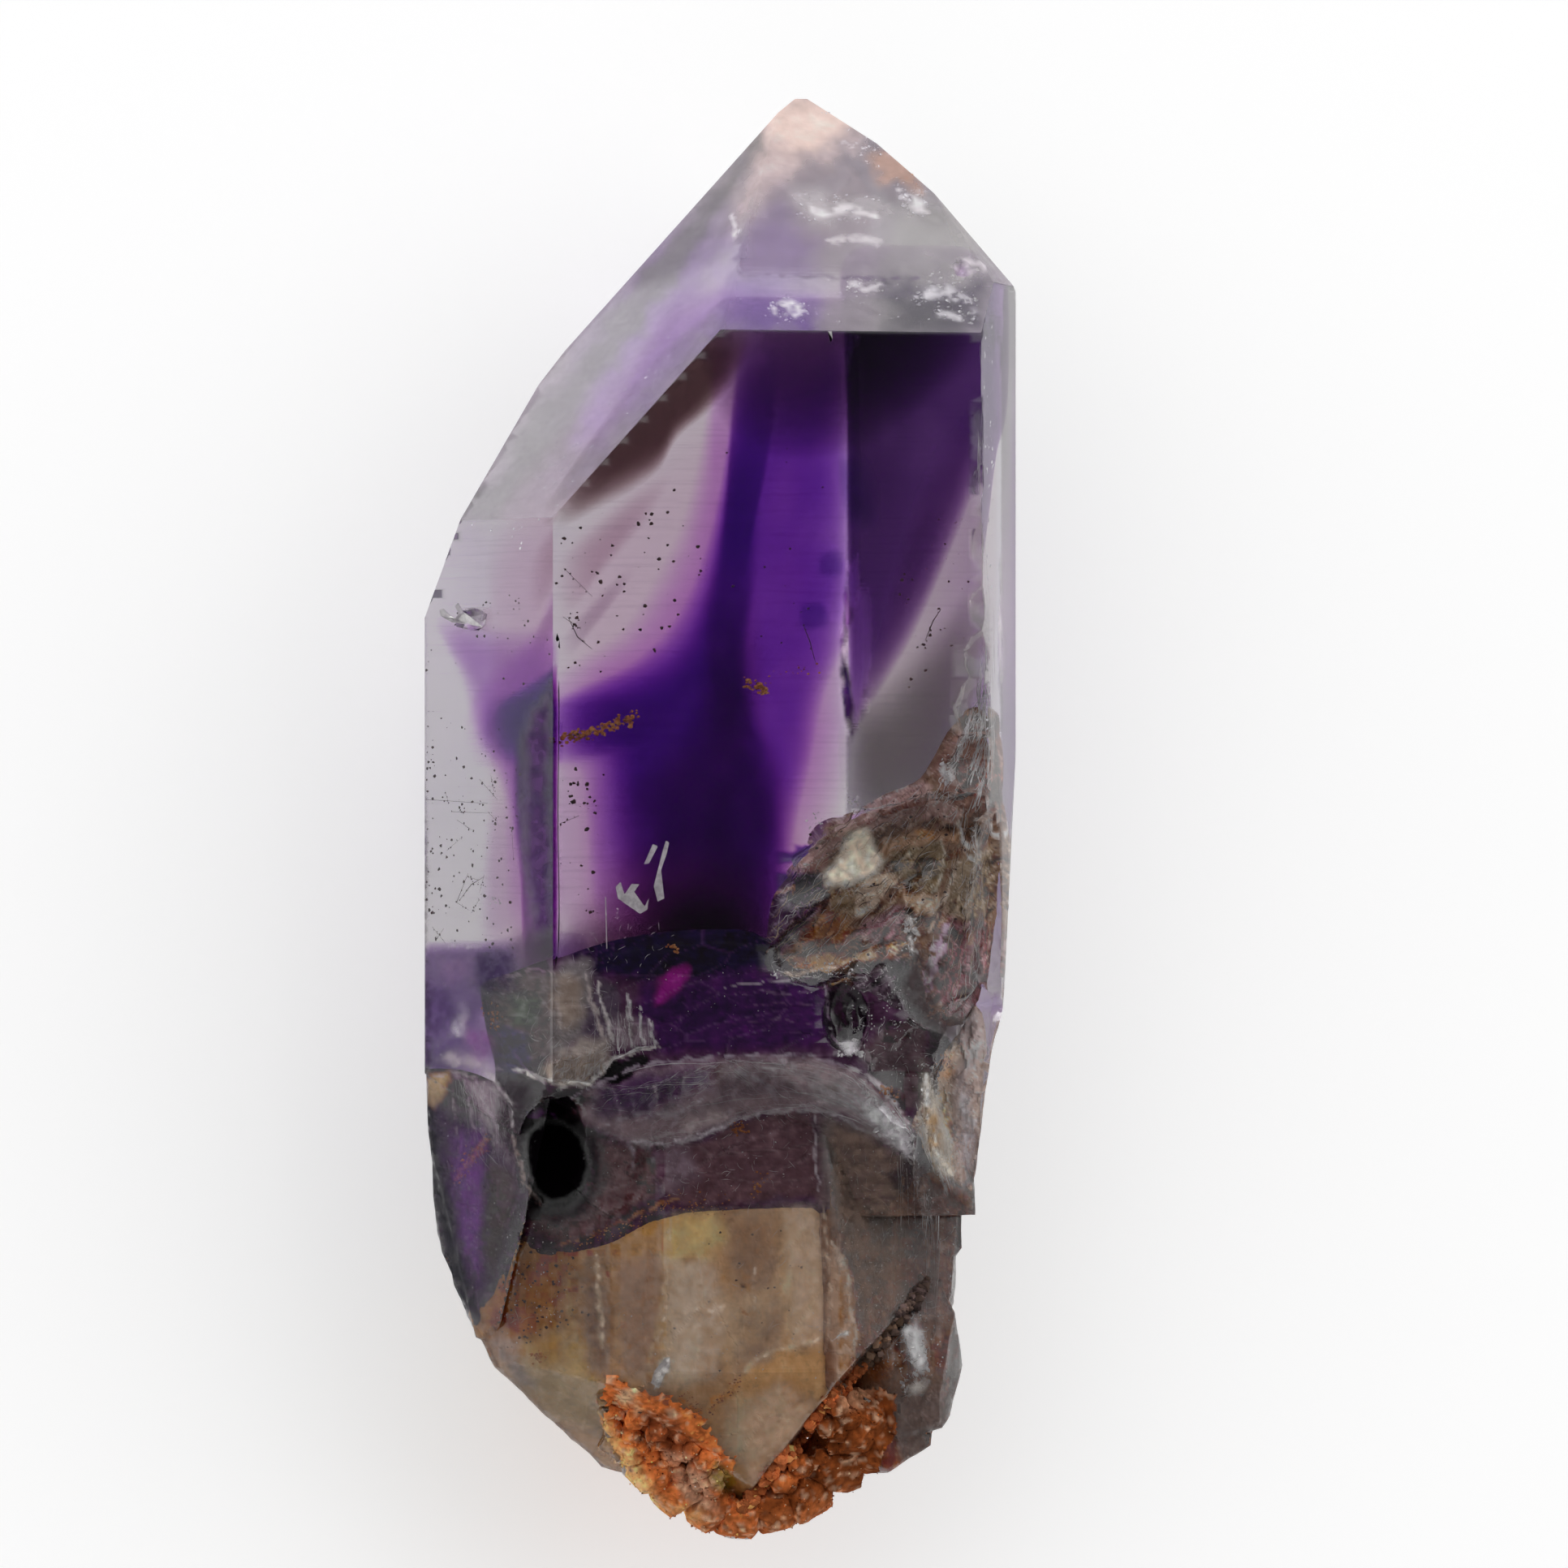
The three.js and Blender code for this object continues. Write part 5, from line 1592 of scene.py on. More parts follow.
# Etch pits and bruises of the end faces: outline, count, size in mm
PITS = [
    ([(640, 600), (700, 520), (800, 420), (888, 390), (888, 408), (800, 490), (735, 560), (695, 620)], 150,
     0.045),
    ([(560, 640), (700, 470), (800, 380), (860, 330), (870, 390), (720, 540), (640, 640)], 90, 0.04),
    ([(560, 700), (600, 600), (680, 540), (690, 620), (640, 680)], 60, 0.05),
    ([(900, 265), (912, 262), (914, 290), (902, 292)], 14, 0.09),
    ([(940, 376), (966, 366), (1000, 376), (996, 398), (958, 398)], 90, 0.06),
    ([(1045, 340), (1085, 345), (1090, 362), (1040, 360)], 50, 0.06),
    ([(1150, 330), (1205, 330), (1205, 400), (1160, 395), (1120, 370)], 160, 0.06),
    ([(975, 238), (1090, 240), (1080, 275), (985, 272)], 120, 0.05),
    ([(1108, 232), (1145, 236), (1140, 268), (1112, 262)], 110, 0.07),
    ([(1000, 130), (1060, 150), (1130, 200), (1110, 240), (1040, 180)], 120, 0.06),
    ([(915, 345), (1150, 340), (1205, 400), (900, 400)], 120, 0.03),
    ([(1212, 380), (1224, 380), (1224, 900), (1214, 900)], 120, 0.06),
]


def etch_pits():
    rng = np.random.default_rng(16)
    shapes = []
    for outline, count, size in PITS:
        for at, n in surfaces(scatter(outline, count, rng)):
            lean = n + rng.normal(size=3) * 0.12
            reach = size * (0.25 + 1.3 * rng.uniform() ** 3)
            shapes.append(flake(at - n * 0.004, lean, reach, 0.012, rng, 6, along=[1, 0.4, 0], stretch=1.5))
    gather("etch_pits", shapes, grainy("etched_white", ETCHED_TONES, 1.2, 0.4))


etch_pits()

# Rust flecks: line, count, jitter in pixels, size in mm, depth in mm
RUST = [
    ([(918, 842), (948, 850)], 60, 4, 0.07, 0.4),
    ([(690, 912), (735, 902), (788, 880)], 130, 4, 0.08, 0.4),
    ([(952, 832), (1010, 822)], 16, 4, 0.04, 0.4),
    ([(822, 1158), (836, 1172)], 14, 3, 0.06, 0.3),
    ([(600, 1238), (611, 1268)], 46, 4, 0.05, 0.12),
    ([(560, 1455), (575, 1430), (600, 1405)], 90, 5, 0.05, 0.06),
    ([(903, 1384), (918, 1392)], 30, 4, 0.06, 0.1),
    ([(930, 1470), (945, 1446)], 24, 5, 0.05, 0.1),
    ([(1088, 1342), (1102, 1350)], 30, 4, 0.06, 0.1),
    ([(1152, 1242), (1165, 1246)], 26, 3, 0.07, 0.1),
    ([(1160, 1305), (1172, 1315)], 30, 4, 0.07, 0.1),
    ([(660, 1668), (668, 1672)], 26, 5, 0.06, 0.1),
    ([(700, 1538), (760, 1514), (830, 1484)], 90, 5, 0.035, 0.1),
    ([(836, 1488), (900, 1484)], 50, 7, 0.035, 0.1),
    ([(1076, 1686), (1096, 1688)], 30, 4, 0.05, 0.1),
    ([(1095, 212), (1136, 222)], 40, 5, 0.04, 0.02),
    ([(836, 1722), (870, 1740), (900, 1716), (912, 1700)], 70, 4, 0.05, 0.05),
]
# Dark specks: outline, count, size in mm
SPECKS = [
    ([(690, 650), (840, 600), (870, 700), (820, 800), (700, 850)], 70, 0.055),
    ([(530, 880), (640, 900), (640, 1170), (530, 1170)], 120, 0.050),
    ([(1100, 700), (1195, 600), (1195, 800), (1120, 850)], 40, 0.045),
    ([(690, 940), (745, 940), (745, 1130), (690, 1130)], 26, 0.050),
    ([(700, 960), (735, 960), (735, 1000), (700, 1000)], 16, 0.075),
    ([(540, 760), (680, 700), (680, 870), (560, 860)], 40, 0.045),
    ([(880, 520), (1030, 560), (1040, 800), (880, 800)], 24, 0.040),
    ([(1000, 1000), (1200, 970), (1200, 1180), (960, 1180)], 90, 0.045),
    ([(600, 1500), (690, 1490), (730, 1620), (620, 1670)], 170, 0.045),
    ([(830, 1490), (1010, 1480), (1000, 1700), (830, 1690)], 30, 0.035),
    ([(524, 800), (534, 800), (534, 1160), (524, 1160)], 40, 0.05),
]
# Dark hairline scratches and crystallites, and their depth in mm
SCRATCH_DEPTH = 0.05
SCRATCHES = [
    [(700, 760), (712, 785), (730, 800)],
    [(695, 700), (730, 735)],
    [(990, 770), (998, 790), (1006, 820)],
    [(1140, 790), (1150, 765), (1160, 750)],
    [(532, 1142), (548, 1162)],
    [(546, 1144), (536, 1160)],
    [(550, 1048), (568, 1032)],
    [(565, 1110), (580, 1090), (596, 1080)],
    [(580, 1125), (590, 1108)],
    [(630, 1020), (632, 1060)],
    [(575, 1080), (590, 1085)],
    [(604, 955), (608, 975)],
    [(590, 960), (612, 985)],
    [(556, 1000), (600, 1002)],
    [(562, 1010), (580, 1022)],
    [(600, 1000), (612, 1012)],
    [(524, 985), (600, 990)],
    [(690, 1015), (714, 1005)],
    [(694, 760), (716, 775)],
    [(576, 1076), (562, 1112), (578, 1122)],
    [(596, 1078), (590, 1100)],
    [(548, 975), (552, 990)],
    [(700, 905), (715, 906)],
]


def small_marks():
    rng = np.random.default_rng(14)
    rust, dark = [], []
    for points, count, jitter, size, depth in RUST:
        for at, n in surfaces(trail(points, count, rng, jitter)):
            spot = at - n * depth * rng.uniform(0.4, 1.0)
            rust.append(grain(spot, size * rng.uniform(0.3, 1.0), rng, (1.3, 1, 0.6)))
    for outline, count, size in SPECKS:
        for at, n in surfaces(scatter(outline, count, rng)):
            spot = at - n * rng.uniform(0.03, 0.2)
            dark.append(grain(spot, size * rng.uniform(0.35, 1.2) ** 1.5, rng, (1.2, 1, 0.5), 0.45))
    for line in SCRATCHES:
        points = [at - n * SCRATCH_DEPTH for at, n in surfaces(line)]
        dark.append(rod(points, [0.008] + [0.020] * (len(points) - 2) + [0.006], 4))
        for at, n in surfaces(trail(line, 5, rng, 1.0)):
            spot = at - n * SCRATCH_DEPTH
            dark.append(grain(spot, 0.035 * rng.uniform(0.4, 1.2), rng, (1, 1, 0.5), 0.4))
    dark += hatched(DARK_LINES, rng)
    gather("rust_flecks", rust, grainy("rust", RUST_TONES, 3.0, 0.7))
    gather("dark_specks", dark, grainy("dark_speck", SPECK_TONES, 3.0, 0.6))


small_marks()

# Iron-stained crust of the foot, in the view and round its back
CRUST_LEFT = [
    (744, 1690), (786, 1706), (838, 1726), (866, 1742), (886, 1776), (908, 1800), (898, 1828), (916, 1850),
    (930, 1896), (850, 1896), (780, 1850), (760, 1790), (740, 1750),
]
CRUST_RIGHT = [
    (1018, 1716), (1060, 1708), (1100, 1718), (1108, 1764), (1080, 1820), (985, 1900), (905, 1900),
    (906, 1868), (928, 1838), (962, 1800), (992, 1762), (1012, 1730),
]
CRUST_TOP = -19.0      # highest point of the crust along the crystal, mm
BACK_TOP = -22.3       # where it ends round the back, mm
BACK_SCALE = 34        # pixels to a mm there
UNDERCUT = -0.45       # how far faces may lean away from the view and still be painted by it
# Longest edges of the skin under the crust, the end films, the veils and the veils' strokes, mm
CRUST_EDGE = 0.19
END_EDGE = 0.22
VEIL_EDGE = 0.27
VEIL_FINE_EDGE = 0.14


def crust_cover(p, normal):
    """How far surface points lie inside the crust, in pixels; negative outside it."""
    q = pixel_of(p)
    in_view = np.maximum(-edge_points(CRUST_LEFT, q)[1], -edge_points(CRUST_RIGHT, q)[1])
    sway = 5.0 * cloudy(p * 1.6, 2, 51) + 5.0 * cloudy(p * 7.0, 2, 53)
    round_back = (BACK_TOP - p[:, 1]) * BACK_SCALE + 10 * noise(p * 0.9, 8)
    return np.where(normal @ BACK > UNDERCUT, in_view, round_back) + sway


NEAR = 2.5             # how far beside a stroke its film is finer, in pixels


def cut_edges(bm, edges):
    """Halves edges of a mesh of triangles."""
    bmesh.ops.subdivide_edges(bm, edges=edges, cuts=1)
    bmesh.ops.triangulate(bm, faces=bm.faces)


def skin_copy(reach, longest, strokes=(), fine=0.0):
    """Part of the crystal's surface, with edges no longer than a length in mm, and finer near strokes."""
    bm = bmesh.new()
    bm.from_mesh(crystal.data)
    centres = np.array([f.calc_center_median() for f in bm.faces]) / MM - SHIFT
    kept = reach(centres, np.array([f.normal for f in bm.faces]))
    bmesh.ops.delete(bm, geom=[f for f, keep in zip(bm.faces, kept) if not keep], context="FACES")
    bmesh.ops.triangulate(bm, faces=bm.faces)
    for _ in range(4):
        edges = [e for e in bm.edges if e.calc_length() > longest * MM]
        if not edges:
            break
        cut_edges(bm, edges)
    for _ in range(2 if strokes else 0):
        edges = [e for e in bm.edges if e.calc_length() > fine * MM]
        q = pixel_of(np.array([(e.verts[0].co + e.verts[1].co) / 2 for e in edges]) / MM - SHIFT)
        near = np.zeros(len(edges), bool)
        for _, _, _, width, line in strokes:
            near |= line_gap(line, q)[0] < width + NEAR
        cut_edges(bm, [e for e, by in zip(edges, near) if by])
    bm.normal_update()
    p = np.array([v.co for v in bm.verts]) / MM - SHIFT
    normal = np.array([v.normal for v in bm.verts])
    faces = [[v.index for v in f.verts] for f in bm.faces]
    bm.free()
    return p, normal, faces


def only_used(faces, *rows):
    """Faces and rows of values for just the points that the faces use."""
    used = np.unique(np.concatenate(faces))
    back = {int(i): k for k, i in enumerate(used)}
    return [[back[i] for i in f] for f in faces], *[row[used] for row in rows]


def shell(name, top, under, faces, mat):
    """Closed piece between two layers of the same faces."""
    count = len(top)
    edges = {(a, b) for f in faces for a, b in zip(f, f[1:] + f[:1])}
    walls = [[b, a, a + count, b + count] for a, b in sorted(edges) if (b, a) not in edges]
    faces = faces + [[i + count for i in f[::-1]] for f in faces] + walls
    return new_piece(name, place(np.concatenate([top, under])), faces, mat)


def crust_part():
    """Skin under the crust: faces, points, normals and cover."""
    p, normal, faces = skin_copy(lambda centres, normals: centres[:, 1] < CRUST_TOP, CRUST_EDGE)
    cover = crust_cover(p, normal)
    return only_used([f for f in faces if cover[f].min() > 0], p, normal, cover)


CRUST_LIGHT = 0.54
CRUST_DEPTH = 0.04     # how far the crust reaches under the skin, mm
CRUST_RISE = (0.003, 0.05)     # its lowest and highest relief, mm
CRUST_GRAINS = 3300
PALE_GRAINS = 0.14     # share of the grains that have the pale tone
PALE_GRAIN = (214, 176, 140)
CRUST_GROUND = (172, 92, 46)
CRUST_AREAS = [
    ("right half", (104, 52, 22), 1, 20,
     [(940, 1700), (1130, 1690), (1130, 1900), (945, 1900), (930, 1870), (980, 1800), (1010, 1740)]),
    ("left dark", (112, 56, 30), 0.9, 12,
     [(790, 1740), (840, 1750), (860, 1790), (820, 1800), (790, 1776)]),
    ("left low", (120, 62, 30), 0.8, 12, [(860, 1810), (900, 1830), (890, 1866), (850, 1850)]),
    ("bare", (166, 126, 102), 0.8, 10,
     [(818, 1788), (850, 1800), (872, 1838), (884, 1866), (852, 1852), (826, 1816)]),
    ("yellow rim", (196, 148, 96), 0.8, 12,
     [(740, 1746), (780, 1790), (806, 1846), (860, 1866), (800, 1870), (740, 1790)]),
    ("low rim", (150, 84, 46), 0.8, 12,
     [(870, 1860), (935, 1886), (990, 1860), (1040, 1830), (1000, 1900), (880, 1900)]),
    ("cream", (176, 134, 104), 0.6, 12, [(1040, 1706), (1076, 1704), (1070, 1726), (1044, 1730)]),
    ("cream spot", (204, 166, 130), 0.8, 8, [(748, 1696), (784, 1712), (786, 1736), (760, 1726)]),
    ("olive", (124, 112, 58), 0.8, 8, [(884, 1802), (906, 1806), (904, 1836), (888, 1832)]),
]
CRUST_BARE = (172, 138, 112)
CRUST_PALEST = 0.95


def crust_tones(p):
    seen = painted(pixel_of(p), CRUST_GROUND, CRUST_AREAS, [], seed=29, wobble=1.8)
    bare = 0.70 * smooth(0.25, 0.75, cloudy(p * 4.0, 3, 83))[:, None]
    seen += (linear(CRUST_BARE) - seen) * bare
    grain_in = 0.26 * cloudy(p * 3.0, 2, 61) + 0.62 * cloudy(p * 11.0, 2, 67)
    return np.clip(seen * np.exp(grain_in)[:, None] / CRUST_LIGHT, 0, CRUST_PALEST)


def crust_material(name):
    return clouded_material(name, rough=0.85, scale=7.0, relief=0.03)


def grain_tones(tone):
    """The same tone for every point of a grain."""
    return np.tile(np.clip(tone, 0, CRUST_PALEST), (len(BALL_VERTS), 1))


def crust():
    rng = np.random.default_rng(17)
    faces, p, normal, cover = crust_part()
    rise = 0.014 + 0.012 * cloudy(p * 3.0, 2, 61) + 0.018 * cloudy(p * 11.0, 2, 67)
    rise = np.clip(rise, *CRUST_RISE) * smooth(0, 6, cover)
    top = np.clip(p + normal * rise[:, None], LOW, HIGH)
    mat = crust_material("crust")
    tone = crust_tones(top)
    piece = shell("iron_crust", top, p - normal * CRUST_DEPTH, faces, mat)
    set_tones(piece.data, "tone", np.concatenate([tone, tone]))
    shapes, tones = [], []
    for i in rng.choice(len(top), CRUST_GRAINS, replace=False):
        r = 0.010 + 0.034 * rng.uniform() ** 2
        spot = top[i] + rng.normal(size=3) * 0.02
        shapes.append(grain(spot, r, rng))
        own = tone[i] * math.exp(rng.normal() * 0.6 - 0.1)
        own = linear(PALE_GRAIN) if rng.uniform() < PALE_GRAINS else own
        tones.append(grain_tones(own))
    grains = gather("crust_grains", shapes, mat)
    set_tones(grains.data, "tone", np.concatenate(tones))


crust()

# Crust grains in the groove between the stem and the smoky quartz, darker towards its upper end: their line
# and tones along it
GROOVE = [
    (1138, 1584), (1112, 1618), (1076, 1662), (1044, 1700), (1012, 1736), (978, 1776), (950, 1810),
    (926, 1846), (916, 1862),
]
GROOVE_TONES = [
    (62, 50, 48), (72, 58, 52), (84, 66, 54), (126, 72, 42), (150, 78, 42), (164, 92, 54), (156, 84, 46),
    (146, 82, 48), (150, 86, 50),
]
GROOVE_SIDE = (16, 12)     # from the line to the lower side, in pixels
GROOVE_GRAINS = 1300
GROOVE_SPREAD = 4.2        # in pixels


def groove():
    rng = np.random.default_rng(43)
    shapes, tones = [], []
    t = rng.uniform(0, 1, GROOVE_GRAINS)
    on_line = along_line(GROOVE, t)
    row = t * (len(GROOVE) - 1)
    for q, k in zip(on_line + rng.normal(size=on_line.shape) * GROOVE_SPREAD, row):
        low, _ = surface(*(q + GROOVE_SIDE))
        if low is None:
            continue
        ray = sight(*q)
        spot = EYE + ray * ((low - EYE) @ BACK / (ray @ BACK))
        r = rng.uniform(0.05, 0.20)
        shapes.append(grain(spot + BACK * rng.uniform(-0.3, 0.25), r, rng, (1, 1, 0.8), 0.35))
        near = int(np.clip(round(k + rng.normal() * 0.5), 0, len(GROOVE) - 1))
        own = linear(GROOVE_TONES[near]) * math.exp(rng.normal() * 0.4)
        tones.append(grain_tones(own / CRUST_LIGHT))
    piece = gather("groove_crust", shapes, crust_material("groove"))
    set_tones(piece.data, "tone", np.concatenate(tones))


groove()

# Etched skin of the end faces. The tones of films have a fourth value, how much they cover
END_FACES = ("end_front", "end_left", "end_left_back", "end_right")
FROST_LIGHT = 0.80
FROST_GROUND = (178, 168, 178, 0.50)
FROST_AREAS = [
    ("tip", (224, 200, 192, 0.92), 1, 26,
     [(930, 110), (1100, 110), (1060, 165), (1010, 190), (965, 200), (930, 215)]),
    ("tip edge", (225, 205, 205, 0.6), 0.8, 22,
     [(900, 230), (950, 175), (975, 200), (930, 270), (900, 300)]),
    ("front left", (166, 146, 186, 0.5), 1, 30,
     [(890, 300), (960, 250), (1010, 300), (1000, 405), (880, 410)]),
    ("front left low", (136, 110, 170, 0.55), 1, 22,
     [(886, 350), (940, 345), (1000, 380), (1000, 410), (880, 410)]),
    ("front right", (182, 178, 178, 0.55), 1, 30,
     [(1090, 250), (1180, 250), (1230, 340), (1220, 405), (1080, 405)]),
    ("front right low", (118, 115, 122, 0.5), 0.9, 18,
     [(1090, 350), (1215, 345), (1215, 410), (1090, 410)]),
    ("speckled band", (204, 198, 202, 0.6), 0.8, 16, [(975, 240), (1090, 236), (1110, 268), (1000, 280)]),
    ("orange", (206, 168, 150, 0.7), 0.8, 12, [(1080, 198), (1125, 196), (1130, 230), (1085, 232)]),
    ("left lavender", (166, 144, 186, 0.55), 1, 40,
     [(798, 300), (890, 260), (890, 400), (800, 500), (700, 600), (660, 600), (720, 440)]),
    ("left grey", (160, 154, 162, 0.5), 0.8, 30,
     [(560, 650), (640, 520), (730, 560), (690, 640), (600, 690)]),
    ("left rim", (140, 138, 140, 0.5), 0.8, 14,
     [(540, 700), (620, 570), (740, 410), (860, 260), (940, 160), (920, 220), (800, 390), (680, 560),
      (580, 700)]),
]
DENTS = [
    [(1170, 312), (1202, 310), (1206, 342), (1174, 346)],
    [(572, 746), (598, 748), (600, 774), (574, 776)],
]
FROST_STROKES = [
    ("dent", (206, 198, 204, 0.92), 1, 16.0, [(1178, 328), (1198, 328)]),
    ("left dent", (226, 220, 226, 0.92), 1, 13.0, [(572, 762), (598, 764)]),
    ("white patch", (228, 222, 226, 0.85), 0.9, 7.0, [(1108, 236), (1126, 250), (1146, 262)]),
    ("white patch 2", (226, 220, 224, 0.85), 0.9, 8.0, [(984, 250), (1010, 262), (1044, 256), (1078, 268)]),
    ("bruise", (230, 226, 232, 0.9), 1.0, 10.0, [(950, 384), (972, 378), (994, 388)]),
    ("bruise 2", (222, 216, 222, 0.8), 0.9, 7.0, [(1044, 350), (1068, 354), (1090, 352)]),
    ("bruise 3", (220, 216, 222, 0.8), 0.9, 10.0, [(1130, 366), (1160, 356), (1196, 372)]),
    ("bruise 4", (222, 218, 224, 0.8), 0.9, 6.0, [(1150, 386), (1180, 392), (1206, 384)]),
    ("bruise 5", (224, 218, 224, 0.8), 0.9, 5.0, [(900, 268), (908, 280), (906, 294)]),
    ("chip edge", (222, 214, 220, 0.8), 0.9, 5.0, [(1186, 322), (1204, 324), (1216, 336)]),
    ("growth line", (120, 106, 130, 0.8), 0.8, 2.5, [(913, 338), (1030, 342), (1147, 344)]),
    ("pale streak", (226, 220, 224, 0.8), 0.7, 8.0, [(1020, 296), (1055, 292), (1086, 300)]),
]


# Heights of a film's two sides over the crystal, mm
FILM_UNDER = 0.004
FILM_TOP = 0.012


def film(name, p, normal, faces, seen, gloss=0.2):
    """Thin closed skin just outside the crystal, from tones and covers; covers apply on both its sides."""
    tone = np.minimum(seen[:, :3] / FROST_LIGHT, PALEST)
    cover = 1 - np.sqrt(1 - np.clip(seen[:, 3:], 0, 0.999))
    top, under = (np.clip(p + normal * height, LOW, HIGH) for height in (FILM_TOP, FILM_UNDER))
    piece = shell(name, top, under, faces, film_material(name, gloss))
    set_tones(piece.data, "tone", np.tile(np.concatenate([tone, cover], 1), (2, 1)))


def on_end_faces(centres, normals):
    kept = np.zeros(len(centres), bool)
    for n, d in (FACES[k][:2] for k in END_FACES):
        kept |= (normals @ n > 0.999) & (np.abs(centres @ n - d) < 0.05)
    for outline in DENTS:
        kept |= (normals @ BACK > 0.1) & (edge_points(outline, pixel_of(centres))[1] < 0)
    return kept


def frosted_ends():
    p, normal, faces = skin_copy(on_end_faces, END_EDGE)
    seen = painted(pixel_of(p), FROST_GROUND, FROST_AREAS, FROST_STROKES, seed=19, wobble=2.0)
    seen[:, :3] *= np.exp(0.10 * cloudy(p * 1.5, 3, 71) + 0.06 * cloudy(p * 9, 2, 73))[:, None]
    seen[:, 3] += 0.05 * cloudy(p * 3, 3, 77)
    film("frosted_ends", p, normal, faces, seen)


frosted_ends()
